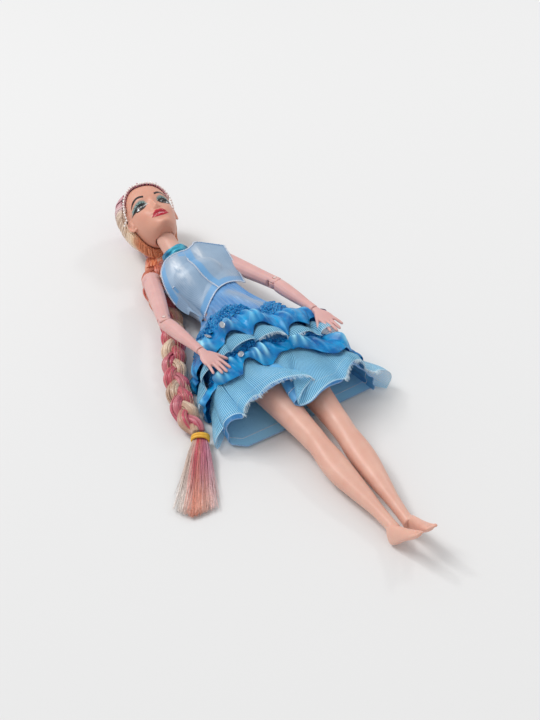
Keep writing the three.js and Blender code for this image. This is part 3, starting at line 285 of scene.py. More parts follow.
# %% Mesh edits and modifiers that are applied at once
def edited(piece, edit):
    """Runs one mesh edit on a piece."""
    mesh = bmesh.new()
    mesh.from_mesh(piece.data)
    edit(mesh)
    mesh.to_mesh(piece.data)
    mesh.free()
    return piece


def outward(piece):
    """Makes all faces of a closed piece point out."""
    return edited(piece, lambda mesh: bmesh.ops.recalc_face_normals(mesh, faces=mesh.faces))


def settle(piece):
    """Applies a piece's modifiers."""
    graph = bpy.context.evaluated_depsgraph_get()
    graph.update()
    made = bpy.data.meshes.new_from_object(piece.evaluated_get(graph))
    piece.modifiers.clear()
    old, piece.data = piece.data, made
    bpy.data.meshes.remove(old)
    piece.data.polygons.foreach_set("use_smooth", [True] * len(piece.data.polygons))
    return piece


def moulded(piece, grain, rounds):
    """One smooth skin over overlapping bodies, as a moulding has."""
    outward(piece)
    skin = piece.modifiers.new("skin", "REMESH")
    skin.mode, skin.voxel_size = "VOXEL", grain * MM
    soft = piece.modifiers.new("soft", "SMOOTH")
    soft.factor, soft.iterations = 0.5, rounds
    return settle(piece)


def cut_away(piece, points, faces):
    """Takes a closed body out of a piece."""
    tool = outward(make_piece("tool", points, faces, piece.data.materials[0]))
    cut = piece.modifiers.new("cut", "BOOLEAN")
    cut.operation, cut.object, cut.solver = "DIFFERENCE", tool, "EXACT"
    settle(piece)
    bpy.data.objects.remove(tool)
    return piece


def ray_tree(piece):
    """A piece's faces for rays, in millimetres."""
    points = measured([v.co for v in piece.data.vertices])
    return BVHTree.FromPolygons(points.tolist(), [tuple(face.vertices) for face in piece.data.polygons])


# %% [markdown]
# ## Bundles of thin tubes
# Hair, stitches and piping are all many thin tubes. Making each one as its own object would be slow, so
# one call builds a whole bundle as a single mesh, with a colour for every tube.


# %% A bundle of tubes in one mesh
def bundle(paths, widths, heights, up, sides):
    """Points and faces of tubes along paths, an array of tubes, steps and coordinates."""
    paths = np.asarray(paths, float)
    tubes, steps = paths.shape[:2]
    along = np.gradient(paths, axis=1)
    along /= np.linalg.norm(along, axis=2, keepdims=True) + 1e-9
    across = np.cross(np.broadcast_to(up, paths.shape), along)
    across /= np.linalg.norm(across, axis=2, keepdims=True) + 1e-9
    turn = circle(sides)[None, None, :, None]
    wide = np.broadcast_to(widths, (tubes, steps))[..., None, None] * np.cos(turn)
    high = np.broadcast_to(heights, (tubes, steps))[..., None, None] * np.sin(turn)
    points = paths[:, :, None] + across[:, :, None] * wide + np.cross(along, across)[:, :, None] * high
    starts = range(0, tubes * steps * sides, steps * sides)
    return points.reshape(-1, 3), [face for start in starts for face in capped(steps, sides, start)]


def make_locks(name, paths, widths, heights, colours, sides, up=upward, lowest=0.15):
    """A bundle of hair, with a colour for each lock or for each step of it, kept above the table."""
    colours = np.asarray(colours, float)
    steps = len(paths[0])
    if colours.ndim == 2:
        colours = np.repeat(colours[:, None], steps, axis=1)
    points, faces = bundle(paths, widths, heights, up, sides)
    if lowest:
        points[:, 2] = np.maximum(points[:, 2], lowest)
    return make_piece(name, points, faces, fibre, np.repeat(colours[:, :, None], sides, axis=2).reshape(-1, 3))


print("a straight tube has", len(bundle([[(0, 0, 0), (0, 1, 0)]], 1, 1, upward, 5)[1]), "faces")


# %% [markdown]
# ## Materials
# Every finish is made of shader nodes: a base colour that varies a little, a fine bump at the real
# scale of the grain or weave, and the gloss of the real thing. Colours are written as they look, in
# the usual 0 to 255 form, and turned into the linear values that a shader wants.


# %% Colour and node helpers
def look(red, green, blue):
    """A colour as seen, in linear light."""
    seen = np.array([red, green, blue]) / 255
    return np.where(seen <= 0.04045, seen / 12.92, ((seen + 0.055) / 1.055) ** 2.4)


def looks(*colours):
    return [look(*colour) for colour in colours]


class Finish:
    """A material and short ways to add nodes to it."""

    def __init__(self, name, colour, rough, **sockets):
        self.material = bpy.data.materials.new(name)
        self.material.use_nodes = True
        self.nodes, self.links = self.material.node_tree.nodes, self.material.node_tree.links
        self.shader = self.nodes["Principled BSDF"]
        self.shader.inputs["Base Color"].default_value = (*look(*colour), 1)
        self.shader.inputs["Roughness"].default_value = rough
        for key, value in sockets.items():
            self.shader.inputs[key.replace("_", " ")].default_value = value

    def node(self, kind, **values):
        made = self.nodes.new(kind)
        for key, value in values.items():
            if hasattr(made, key):
                setattr(made, key, value)
            else:
                made.inputs[key.replace("_", " ")].default_value = value
        return made

    def feed(self, pairs):
        """Gives each socket its value: another node's output, a colour as seen or a number."""
        for value, socket in pairs:
            if isinstance(value, bpy.types.NodeSocket):
                self.links.new(value, socket)
            else:
                socket.default_value = (*look(*value), 1) if hasattr(value, "__len__") else value

    def noise(self, scale, detail=3, stretch=(1, 1, 1)):
        """Soft noise whose scale is per millimetre."""
        mapping = self.node("ShaderNodeMapping")
        mapping.inputs["Scale"].default_value = [value / MM for value in stretch]
        made = self.node("ShaderNodeTexNoise", Scale=scale, Detail=detail)
        self.feed([(self.node("ShaderNodeTexCoord").outputs["Object"], mapping.inputs["Vector"]),
                   (mapping.outputs[0], made.inputs["Vector"])])
        return made.outputs["Fac"]

    def ramp(self, value, *stops):
        """Turns a number into the colours, or numbers, of (place, value) stops."""
        made = self.node("ShaderNodeValToRGB")
        for extra in stops[2:]:
            made.color_ramp.elements.new(extra[0])
        for element, (where, colour) in zip(made.color_ramp.elements, sorted(stops, key=lambda s: s[0])):
            element.position = where
            element.color = (*look(*colour), 1) if hasattr(colour, "__len__") else (colour,) * 3 + (1,)
        self.feed([(value, made.inputs[0])])
        return made.outputs[0]

    def speckle(self, scale, detail, low, high, start=0.3, end=0.7, stretch=(1, 1, 1)):
        return self.ramp(self.noise(scale, detail, stretch), (start, low), (end, high))

    def mix(self, share, first, second, blend="MIX"):
        made = self.node("ShaderNodeMix", data_type="RGBA", blend_type=blend)
        self.feed([(share, made.inputs[0]), (first, made.inputs[6]), (second, made.inputs[7])])
        return made.outputs[2]

    def math(self, operation, *values):
        made = self.node("ShaderNodeMath", operation=operation)
        self.feed(zip(values, made.inputs))
        return made.outputs[0]

    def times(self, first, second, plus=0.0):
        return self.math("MULTIPLY_ADD", first, second, plus)

    def mark(self, name):
        """A number stored on the piece's points."""
        return self.node("ShaderNodeAttribute", attribute_name=name).outputs["Fac"]

    def tinted(self, shade):
        """The colours stored on the piece's points, darkened or lightened by a shade."""
        tint = self.node("ShaderNodeAttribute", attribute_name="tint").outputs["Color"]
        return self.mix(1.0, tint, shade, "MULTIPLY")

    def split_map(self):
        """The two cloth coordinates, in millimetres."""
        parts = self.node("ShaderNodeSeparateXYZ")
        self.feed([(self.node("ShaderNodeUVMap", uv_map="cloth").outputs[0], parts.inputs[0])])
        return parts.outputs[0], parts.outputs[1]

    def waves(self, value, pitch):
        """0 to 1 and back once for each pitch of a length."""
        return self.times(self.math("SINE", self.times(value, 2 * math.pi / pitch)), 0.5, 0.5)

    def surface(self, colour, relief, height, strength, rough=None):
        """Joins the colour, a bump of a height in millimetres, and the gloss to the shader."""
        raised = self.node("ShaderNodeBump", Distance=height * MM, Strength=strength)
        self.feed([(colour, self.shader.inputs["Base Color"]), (relief, raised.inputs["Height"]),
                   (raised.outputs[0], self.shader.inputs["Normal"])])
        if rough is not None:
            self.feed([(rough, self.shader.inputs["Roughness"])])
        return self.material

    def see_through(self, share):
        """share 1 is solid and 0 is clear."""
        clear, blend = self.node("ShaderNodeBsdfTransparent"), self.node("ShaderNodeMixShader")
        self.feed([(share, blend.inputs[0]), (clear.outputs[0], blend.inputs[1]),
                   (self.shader.outputs[0], blend.inputs[2]),
                   (blend.outputs[0], self.nodes["Material Output"].inputs["Surface"])])


def simple_finish(name, colour, rough, low, high, grain, relief, height, strength=0.5, **sockets):
    """Two tones and a bump, each from a noise given as scale and detail."""
    made = Finish(name, colour, rough, **sockets)
    return made.surface(made.speckle(*grain, low, high), made.noise(*relief), height, strength)


def darker(colour, share):
    return tuple(value * share for value in colour)


print("middle grey in linear light:", look(128, 128, 128).round(3))


# %% [markdown]
# Doll skin is vinyl or hard plastic: even in colour, faintly mottled, with a soft sheen and a little
# light passing under the surface. Each kind of moulding on this doll has its own shade.


# %% Skin, plastic and steel
def skin_finish(name, colour, deep, rough=0.42):
    made = Finish(name, colour, rough, Subsurface_Weight=0.18, Subsurface_Radius=(0.0022, 0.0009, 0.0005),
                  Subsurface_Scale=1.0, Specular_IOR_Level=0.4)
    return made.surface(made.speckle(0.11, 4, deep, colour), made.noise(1.6, 5), 0.03, 0.5,
                        made.speckle(0.5, 3, rough - 0.05, rough + 0.08, end=0.75))


def plain_finish(name, colour, rough, metal=0.0):
    """One colour with a faint mottle."""
    return simple_finish(name, colour, rough, darker(colour, 0.93), colour, (0.6, 4), (3, 3), 0.02, Metallic=metal)


head_skin = skin_finish("head_vinyl", (219, 160, 138), (209, 148, 127))
torso_skin = skin_finish("body_plastic", (224, 176, 158), (217, 167, 150))
arm_skin = skin_finish("arm_plastic", (218, 172, 167), (210, 162, 158))
leg_skin = skin_finish("leg_vinyl", (226, 180, 162), (220, 168, 150), 0.36)
inner_finish = plain_finish("inner_plastic", (236, 231, 222), 0.5)
steel_finish = plain_finish("pin_steel", (196, 198, 202), 0.25, 1.0)
elbow_finish = plain_finish("elbow_plastic", (226, 204, 198), 0.3)
print("materials so far:", len(bpy.data.materials))

# %% [markdown]
# ## Legs
# Each leg is one soft moulding from hip to toes, so it is one piece. The rings
# run down the bones that the joints give. The calf bulges back and outward, the ankle is thin, and the
# pointed foot stands on its heel.

# %% Sections of the leg
hip_radius, plug_radius = 10.4, 10.1
squareness = 2.1
# place along the thigh or shin, then half width, front, back and shift outward as shares of the hip radius
thigh_shares = [(-0.02, 0.97, 0.95, 0.95, 0), (0.12, 0.98, 0.95, 0.97, 0), (0.3, 0.92, 0.9, 0.92, 0),
                (0.5, 0.83, 0.82, 0.82, 0), (0.7, 0.71, 0.72, 0.71, 0), (0.88, 0.61, 0.62, 0.6, 0),
                (1, 0.575, 0.59, 0.545, 0)]
shin_shares = [(0.1, 0.55, 0.525, 0.555, 0.005), (0.25, 0.615, 0.47, 0.735, 0.04),
               (0.4, 0.6, 0.44, 0.73, 0.06), (0.6, 0.48, 0.39, 0.53, 0.03), (0.8, 0.335, 0.32, 0.35, 0),
               (0.94, 0.285, 0.3, 0.3, 0), (1.04, 0.28, 0.32, 0.32, 0)]
foot_shares = [(-0.07, 0.19, 0.4, 0.06), (0, 0.26, 0.72, 0.15), (0.15, 0.28, 0.72, 0.18),
               (0.32, 0.27, 0.58, 0.13), (0.5, 0.28, 0.4, 0.13), (0.7, 0.28, 0.24, 0.16),
               (0.85, 0.26, 0.15, 0.14)]
toe_shares = [(-0.3, 0.9), (0, 1), (0.5, 0.95), (0.8, 1), (0.95, 0.72), (1.02, 0.3)]
hip_plug = [(0, 0.78), (2, 0.93), (5.4, 1), (9, 0.9), (12, 0.7), (14.2, 0.42)]
foot_length, toe_radius, toe_gap = 22, 0.62, 1.12
foot_angle = math.radians(52)
foot_turn = {"right": math.radians(14), "left": math.radians(8)}
shin_length, ankle_height = 62.5, 6.4
shin_inward = {"right": math.radians(2.9), "left": math.radians(4.6)}
sides = (("right", -1), ("left", 1))
print("rings set by hand for a leg:", len(thigh_shares) + len(shin_shares) + len(foot_shares))


# %% Build a leg
def bone_rows(start, end, shares):
    """Rows of a bone: the place of each ring, then its sizes."""
    return [np.append(start + (end - start) * row[0], np.array(row[1:]) * hip_radius) for row in shares]


def make_leg(name, side):
    hip, knee = joint_place(f"hip_swing_{name}"), joint_place(f"knee_{name}")
    drop = knee[2] - ankle_height
    inward = math.sin(shin_inward[name]) * shin_length
    ankle = knee - np.array([side * inward, math.sqrt(shin_length ** 2 - inward ** 2 - drop ** 2), drop])
    rows = through(bone_rows(hip, knee, thigh_shares) + bone_rows(knee, ankle, shin_shares), 70)
    toe_way = np.array([-side * math.tan(foot_turn[name]) * math.cos(foot_angle), -math.cos(foot_angle),
                        math.sin(foot_angle)])
    instep = np.array([0, math.sin(foot_angle), math.cos(foot_angle)])
    heel = ankle + np.array([side * 0.16, -0.45, -0.4]) * hip_radius
    foot_rows = through(bone_rows(heel, heel + toe_way * foot_length, foot_shares), 30)
    bodies = [loft([section(row[:3] + (side * row[6], 0, 0), row[3:6], 36, squareness) for row in rows]),
              loft([section(row[:3], row[3:6], 28, 2.2, y_axis=instep) for row in foot_rows])]
    toe_base = heel + toe_way * foot_length * 0.82
    for i in range(5):
        spread = (i - 2) * toe_gap * -side
        reach = foot_length * (0.2 - 0.022 * i)
        base, tip = toe_base + (spread, 0, 0), toe_base + toe_way * reach + (spread * 0.9, 0, 0)
        size = toe_radius * (1.0 if i else 1.35) * np.array([1, 1.25, 1])
        bodies.append(loft([section(base + (tip - base) * t, size * w, 12, y_axis=instep) for t, w in toe_shares]))
    bodies.append(loft([section(hip + (side * (step - 5.4), 0, 0), plug_radius * size, 30, 2, headward)
                        for step, size in hip_plug]))
    leg = moulded(make_piece(f"leg_{name}", *merged(*bodies), leg_skin), 0.42, 5)
    wear(leg, "leg_vinyl", None, f"thigh_{name}", f"shin_{name}")
    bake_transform(leg)


for name, side in sides:
    make_leg(name, side)

# %% [markdown]
# ## Torso
# Two hard halves closed along the sides, with the neck in one piece with them. The dress covers most of
# it, but the shoulders, the neck and the seam between the halves show at the armholes.

# %% Torso
torso_length, chest_half_width, chest_depth = 84, 16.2, 27
chest_power = 2.25
neck_radius, neck_length, shoulder_hollow = 5.4, 19, 6.1
# height along the torso, half width, back and front, as shares of length, half width and depth
torso_shares = [(0.06, 1.23, 0.1, 0.92), (0.143, 1.2, 0.1, 0.93), (0.214, 1.05, 0.115, 0.88),
                (0.31, 0.815, 0.163, 0.8), (0.405, 0.716, 0.181, 0.763), (0.5, 0.778, 0.156, 0.815),
                (0.595, 0.914, 0.108, 0.944), (0.69, 1, 0.078, 1.06), (0.786, 1.006, 0.078, 1),
                (0.857, 1, 0.1, 0.907), (0.911, 0.94, 0.163, 0.852), (0.952, 0.74, 0.252, 0.822),
                (0.985, 0.46, 0.33, 0.8), (1.01, 0.33, 0.39, 0.8)]
torso_rows = through(torso_shares, 80)
neck_rows = [(-8, 1.15), (0, 1.12), (8, 1.03), (15, 0.99), (19, 1), (21, 0.93), (23, 0.66), (24.2, 0.3)]


def torso_sizes(height):
    """Half width, back and front of the torso at a height along it."""
    share = np.asarray(height, float) / torso_length
    return [np.interp(share, torso_rows[:, 0], torso_rows[:, k]) * size
            for k, size in ((1, chest_half_width), (2, chest_depth), (3, chest_depth))]


def torso_at(height, angle, away=0.0):
    """A point on the torso's surface: 0 degrees is its left side and 90 its front."""
    width, back, front = torso_sizes(height)
    low, high = back - away, front + away
    turn = np.radians(angle)
    return np.stack([(width + away) * squared(np.cos(turn), chest_power), np.asarray(height, float) + 0 * turn,
                     (low + high) / 2 + (high - low) / 2 * squared(np.sin(turn), chest_power)], axis=-1)


head_pivot = joint_place("neck_nod")
neck_lean = math.radians(18)
neck_way = np.array([0, math.cos(neck_lean), math.sin(neck_lean)])
neck_base = head_pivot - neck_way * neck_length
neck_front = np.cross(neck_way, leftward) * -1


def make_torso():
    trunk = loft([torso_at(row[0] * torso_length, np.arange(48) * 7.5) for row in torso_rows])
    neck = loft([section(neck_base + neck_way * step, neck_radius * size, 32, y_axis=neck_front)
                 for step, size in neck_rows])
    torso = moulded(make_piece("torso_shell", *merged(trunk, neck), torso_skin), 0.6, 6)
    for name, _ in sides:
        cut_away(torso, *ball(joint_place(f"shoulder_swing_{name}"), shoulder_hollow, leftward, 32, 18, 0.05,
                              headward))
    wear(torso, "body_plastic", "torso", "torso_front", "torso_back")


make_torso()

# %% [markdown]
# ## Arms and hands
# The arm is pinned at the elbow: the upper arm ends in a rounded fork, the forearm in a tongue that
# fits it, and the pin's bright end shows in the fork. The solid model has these shapes already, so its
# own pieces are copied and given one fine smooth skin, which rounds their edges as moulding does.


# %% Arms from the solid model
def smooth_copy(name, node, material, grain, rounds):
    """The solid model's own shape with its edges rounded."""
    piece = added(name, frame["nodes"][node].data.copy())
    piece.data.materials.clear()
    piece.data.materials.append(material)
    edited(piece, lambda mesh: bmesh.ops.remove_doubles(mesh, verts=mesh.verts, dist=0.002 * MM))
    return moulded(piece, grain, rounds)


for name, side in sides:
    for node in (f"upper_arm_{name}", f"forearm_{name}"):
        wear(smooth_copy(f"{node}_skin", node, arm_skin, 0.3, 9), "arm_plastic", node, node)

# %% [markdown]
# The hands lie palm down on the skirt. Each has a thumb, a first finger, two middle fingers moulded
# together and a little finger, with a ring seam at the wrist where the hand plugs in.

# %% Hands
hand_droop = {"right": math.radians(10), "left": math.radians(8.5)}
hand_turn = {"right": math.radians(3.5), "left": math.radians(4.6)}
palm_rows = [(-0.4, 2.1, 1.9), (0.8, 2.15, 1.9), (2.6, 2.5, 1.85), (4.6, 3.7, 1.75), (7.5, 4.35, 1.6),
             (9.8, 4.35, 1.4), (11.6, 3.7, 1.2), (12.4, 2.6, 0.9)]
# sideways place at the knuckle, where it starts, length, radius, fan in degrees and droop at the tip
fingers = [(3.3, 9.6, 9.6, 0.98, 9, 0.9), (1.25, 10.2, 10.4, 1.02, 2.5, 0.8), (-0.75, 10.2, 9.9, 0.98, 0, 0.8),
           (-2.95, 9.4, 8.4, 0.9, -10, 1.0), (2.6, 4.2, 9.8, 1.12, 33, 1.3)]


def hand_frame(name, side):
    """The hand's own axes as columns: up from its back, across, and along to its tips."""
    way = np.array(joints[f"wrist_{name}"]["axis"])
    hinge = np.array(joints[f"elbow_{name}"]["axis"]) * -side
    hinge = unit(hinge - way * hinge.dot(way))
    bend = Matrix.Rotation(hand_turn[name], 3, "X") @ Matrix.Rotation(-hand_droop[name], 3, "Y")
    return np.column_stack([hinge, np.cross(way, hinge), way]) @ np.array(bend)


def finger(side, where, start, length, radius, fan, droop):
    """One finger: thicker at its two knuckles, round at its tip, and drooping a little."""
    rings, angle = [], math.radians(fan)
    for share in np.linspace(-0.12, 1, 22):
        knuckle = 1 + 0.07 * bump(share, 0.36, 0.07) + 0.05 * bump(share, 0.68, 0.06)
        tip = math.sqrt(max(0.02, 1 - max(0, (share - 0.88) / 0.12) ** 2))
        size = radius * (1.02 - 0.22 * share) * knuckle * tip
        centre = (-droop * max(share, 0) ** 2 + 0.25, (where + math.sin(angle) * length * share) * side,
                  start + math.cos(angle) * length * share)
        rings.append(section(centre, (size, size * 0.92, size * 0.92), 14, squareness, headward, leftward))
    return loft(rings)


def make_hand(name, side):
    palm = loft([section((0, 0, row[0]), (row[1], row[2] * 0.9, row[2] * 1.1), 28, 2.4, headward, leftward)
                 for row in through(palm_rows, 24)])
    points, faces = merged(palm, *(finger(side, *row) for row in fingers))
    points = points @ hand_frame(name, side).T + joint_place(f"wrist_{name}")
    hand = moulded(make_piece(f"hand_{name}_skin", points, faces, arm_skin), 0.2, 5)
    wear(hand, "arm_plastic", f"hand_{name}", f"hand_{name}")


for name, side in sides:
    make_hand(name, side)

# %% [markdown]
# ## Head
# The head is hollow vinyl, slush moulded in one piece with its nose, lips and ears, and painted after.
# Rings down the head give its outline, soft bumps push out the features, and one remesh joins the ears.
# The soft paint, such as the eye shadow and the blush, is stored as colours on the points of this skin,
# and so is a painted shade under the chin and at the nostrils.

# %% Head form
head_height, head_half_width, head_depth = 40, 13.4, 30
head_middle = (0, 20, 0)
head_frame = np.array(Matrix.Translation(head_pivot) @ Matrix.Rotation(math.radians(12), 4, "X")
                      @ Matrix.Rotation(math.radians(-3), 4, "Z"))
head_axes, head_place = head_frame[:3, :3], head_frame[:3, 3]
# height, half width, front and back, as shares of the head's height, half width and depth
head_shares = [(0.005, 0.36, 0.36, 0.2), (0.05, 0.52, 0.43, 0.28), (0.125, 0.68, 0.45, 0.37),
               (0.225, 0.81, 0.447, 0.45), (0.35, 0.92, 0.44, 0.51), (0.49, 0.97, 0.425, 0.545),
               (0.625, 1, 0.43, 0.56), (0.75, 0.97, 0.41, 0.54), (0.865, 0.85, 0.35, 0.47),
               (0.94, 0.64, 0.255, 0.36), (0.985, 0.38, 0.14, 0.22), (1, 0.16, 0.05, 0.1)]
nose_bridge = [(11.8, 0), (13.4, 1.3), (14.8, 2.5), (16, 2.3), (18, 1.5), (21, 0.8), (24, 0)]
nose_widths = [(12.5, 1.75), (14, 1.6), (16, 1.2), (20, 1.15), (24, 1.6)]
# height of each push, then its place and reach sideways and up the face
face_pushes = {"eye hollow": (-1.25, 5.6, 3.4, 19.6, 2.9), "brow": (0.35, 6.5, 5, 24.6, 1.8),
               "cheek": (0.55, 7.2, 3.6, 12.6, 3.4), "nostril": (0.7, 1.7, 0.85, 13.9, 1.0),
               "lip groove": (-0.2, 0, 0.5, 12.3, 0.6), "chin": (0.8, 0, 3.2, 2.6, 1.7),
               "chin hollow": (-0.35, 0, 2.6, 4.9, 0.7)}
lip_pushes = [(1.1, 10.6, 1.0), (1.0, 7.9, 0.95), (-0.5, 9.3, 0.45)]
ear_rim = [(12.4, 18.6, 1.0), (13.6, 20.0, 0.2), (14.5, 19.9, -1.4), (14.9, 18.2, -2.6), (14.7, 16, -2.5),
           (14.0, 13.9, -1.3), (13.2, 12.9, -0.1), (12.4, 13.3, 0.7)]
ear_bowl = [(-0.8, 1.6), (0.3, 1.8), (1.2, 1.9), (1.75, 1.4)]
socket_place, socket_radius = np.array([0, -1.2, -0.6]), 6.3


def out_of_head(points):
    """From the head's own axes (left, crown, face) to the doll's."""
    return np.asarray(points, float) @ head_axes.T + head_place


def features(points):
    """Pushes the face out and in: brow, eye hollows, nose, cheeks, lips and chin."""
    x, y, z = np.abs(points[..., 0]), points[..., 1], points[..., 2]
    push = read_off(y, nose_bridge) * np.exp(-(x / read_off(y, nose_widths)) ** 2)
    for height, aside, width, up, reach in face_pushes.values():
        push = push + height * bump(x, aside, width) * bump(y, up, reach)
    lip_width = np.clip(1 - (x / 5.4) ** 2, 0, 1)
    push = push + lip_width * sum(height * bump(y, up, reach) for height, up, reach in lip_pushes)
    moved = points.copy()
    moved[..., 2] += push * ease(z, 3, 9)
    return moved


def make_head():
    rings = [section((0, row[0] * head_height, 0), row[1:] * (head_half_width, head_depth, head_depth), 120, 2.2)
             for row in through(head_shares, 110)]
    bodies = [loft(features(np.array(rings)))]
    swell = 0.62 + 0.1 * np.sin(np.linspace(0, math.pi, 26))
    for _, side in sides:
        mirror = np.array([side, 1, 1])
        bowl, bowl_faces = loft([section((12.3 + step, 16.5, -0.6), (width, 2.9, 2.9), 20, 2, upward, headward)
                                 for step, width in ear_bowl])
        bodies += [bundle(through(ear_rim, 26)[None] * mirror, swell, swell, leftward, 10), (bowl * mirror, bowl_faces)]
    points, faces = merged(*bodies)
    head = moulded(make_piece("head_skin", out_of_head(points), faces, head_skin), 0.34, 3)
    socket, socket_faces = ball(socket_place, socket_radius, headward, 36, 20, 0.04)
    return cut_away(head, out_of_head(socket), socket_faces)


head_piece = make_head()
head_tree = ray_tree(head_piece)
print("head", len(head_piece.data.polygons), "faces")


# %% Points on the head
def head_ray(start, way):
    """Where a ray, in the head's own axes, meets the skin, and which way the skin faces there."""
    place, normal, _, _ = head_tree.ray_cast(Vector(out_of_head(start)), Vector(head_axes @ way))
    return (None, None) if place is None else (np.array(place), np.array(normal))


def on_face(x, y, lift):
    """The point of the face in front of (x, y), lifted off the skin."""
    place, normal = head_ray((x, y, 40), np.array([0, 0, -1]))
    return out_of_head((x, y, lift)) if place is None else place + normal * lift


def on_skull(direction, lift):
    """The outermost point of the head along a direction from its middle."""
    way = unit(np.array(direction, float))
    place, _ = head_ray(head_middle + way * 60, -way)
    return out_of_head(head_middle + way * (14 + lift)) if place is None else place + head_axes @ way * lift


print("tip of the nose at", on_face(0, 14.8, 0).round(1), "mm")


# %% [markdown]
# ## Face paint
# The eyes, lashes, brows and lips are printed on the real face in layers. Here each layer is a thin
# strip of points between a lower and an upper curve, laid on the skin a hair's breadth above the last.
# Soft shades, such as the glitter above the eye, go on the head's own points instead.

# %% Soft paint on the skin
lash_top = [(3.0, 19.3), (4.4, 21.0), (6.6, 21.95), (9.0, 21.5), (11.0, 20.2), (12.6, 19.3)]
face_tone = (219, 160, 138)
shadow_teal, blush_rose, painted_shade_brown = looks((74, 132, 134), (221, 134, 122), (176, 112, 92))


def paint_head():
    spots = measured([v.co for v in head_piece.data.vertices])
    x, y, z = ((spots - head_place) @ head_axes).T
    x, front = np.abs(x), ease(z, 3, 7)
    lid = read_off(x, lash_top)
    shadow = ease(y, lid - 0.8, lid + 0.1) * (1 - ease(y, lid + 0.9, lid + 2.5)) * ease(x, 2.4, 4.4)
    shadow = shadow * (1 - ease(x, 11.4, 12.8)) * front * 0.85
    blush = 0.14 * bump(x, 8.4, 3.4) * bump(y, 12.2, 3.2) * front
    # painted shade: the skin is darkened under the chin and jaw and at the nostrils, where shade falls
    shade = 0.2 * (1 - ease(y, 0.8, 3.4)) + 0.1 * bump(x, 1.7, 0.5) * bump(y, 12.9, 0.5) * front
    tint = np.repeat(look(*face_tone)[None], len(spots), axis=0)
    for colour, share in ((painted_shade_brown, shade), (blush_rose, blush), (shadow_teal, shadow)):
        tint = between(share[:, None], tint, colour)
    set_tints(head_piece.data, tint)
    set_mark(head_piece.data, "glitter", shadow)


def painted_skin():
    made = Finish("painted_vinyl", face_tone, 0.4, Specular_IOR_Level=0.4, Subsurface_Weight=0.15,
                  Subsurface_Radius=(0.002, 0.0008, 0.0005), Subsurface_Scale=1.0)
    sparkle = made.times(made.speckle(6, 1, 0.0, 1.0, 0.52, 0.66), made.mark("glitter"))
    return made.surface(made.mix(sparkle, made.tinted(made.speckle(0.12, 4, 0.94, 1.0)), (168, 214, 212)),
                        made.noise(1.6, 5), 0.025, 0.4, made.times(sparkle, -0.2, 0.42))


paint_head()
head_piece.data.materials[0] = painted_skin()
wear(head_piece, "head_vinyl", "head", "head_shell")

# %% Printed layers
ink, white, brown_iris, dark_iris = looks((16, 13, 15), (246, 246, 248), (74, 44, 30), (28, 16, 14))
lip_red, lip_deep, lip_painted_highlight, brow_brown = looks((206, 34, 60), (168, 14, 38), (240, 170, 178), (34, 12, 16))
sclera_painted_shade, teeth_shade = looks((214, 214, 222), (244, 214, 212))
eye_low = [(3.9, 19.4), (5.2, 18.5), (7, 18.0), (8.8, 18.1), (10.2, 18.9)]
eye_top = [(3.9, 19.5), (5.0, 20.5), (6.8, 20.9), (8.6, 20.3), (10.2, 19.0)]
lash_low = [(3.2, 19.2), (4.8, 20.0), (6.7, 20.2), (8.7, 19.7), (10.3, 18.7), (12.6, 19.2)]
lashes = [((4.6, 21.0), (3.9, 22.3)), ((5.6, 21.5), (5.4, 22.9)), ((6.8, 21.8), (7.2, 23.2)),
          ((8.0, 21.7), (8.9, 23.0)), ((9.2, 21.3), (10.6, 22.4)), ((10.2, 20.7), (11.9, 21.5)),
          ((11.0, 20.2), (12.8, 20.5))]
brow_low = [(3.6, 24.3), (5.4, 25.0), (7.6, 25.2), (9.8, 24.2), (11.7, 22.6)]
brow_top = [(3.2, 25.6), (5.4, 26.6), (7.7, 26.7), (10.2, 25.3), (11.8, 22.7)]
# half outlines of the mouth, from its middle to its corner
upper_lip = [(0, 9.2), (3, 8.8), (5.3, 8.0)], [(0, 11.45), (1.25, 11.9), (3.4, 10.3), (5.3, 8.2)]
lower_lip = [(0, 6.7), (2.7, 7.0), (5, 8.0)], [(0, 9.0), (2.5, 8.6), (5, 8.1)]
teeth = [(0, 8.85), (1.6, 8.75), (2.9, 8.6)], [(0, 9.3), (1.6, 9.15), (2.9, 8.8)]
lip_glint = [(-1.7, 7.5), (-0.6, 7.8), (0.7, 7.8), (1.8, 7.5)]


def mirrored(half):
    return [(-x, y) for x, y in half[:0:-1]] + half


class Printing:
    """Collects thin strips that lie on the face."""

    def __init__(self):
        self.points, self.faces, self.tints = [], [], []

    def strip(self, low, top, lift, colours, side, steps=28, rows=6):
        """colours: one colour, or one for the lower and one for the upper edge."""
        low, top = through(low, steps), through(top, steps)
        first, last = (colours, colours) if np.ndim(colours) == 1 else colours
        start = len(self.points)
        for share in np.linspace(0, 1, rows):
            self.points += [on_face(side * x, y, lift) for x, y in low + (top - low) * share]
            self.tints += [first + (last - first) * share] * steps
        self.faces += ring_faces(rows, steps, False, start)

    def disc(self, x, y, radius, lift, colour, side, lidded=True):
        """A round spot, hidden by the eyelids where it is lidded."""
        turn = np.linspace(math.pi, 0, 13)
        across, tall = x + radius * np.cos(turn), radius * np.sin(turn)
        top, low = y + tall, y - tall
        if lidded:
            top, low = np.minimum(top, read_off(across, eye_top)), np.maximum(low, read_off(across, eye_low))
        self.strip(np.column_stack([across, low]), np.column_stack([across, top]), lift, colour, side, 18, 8)


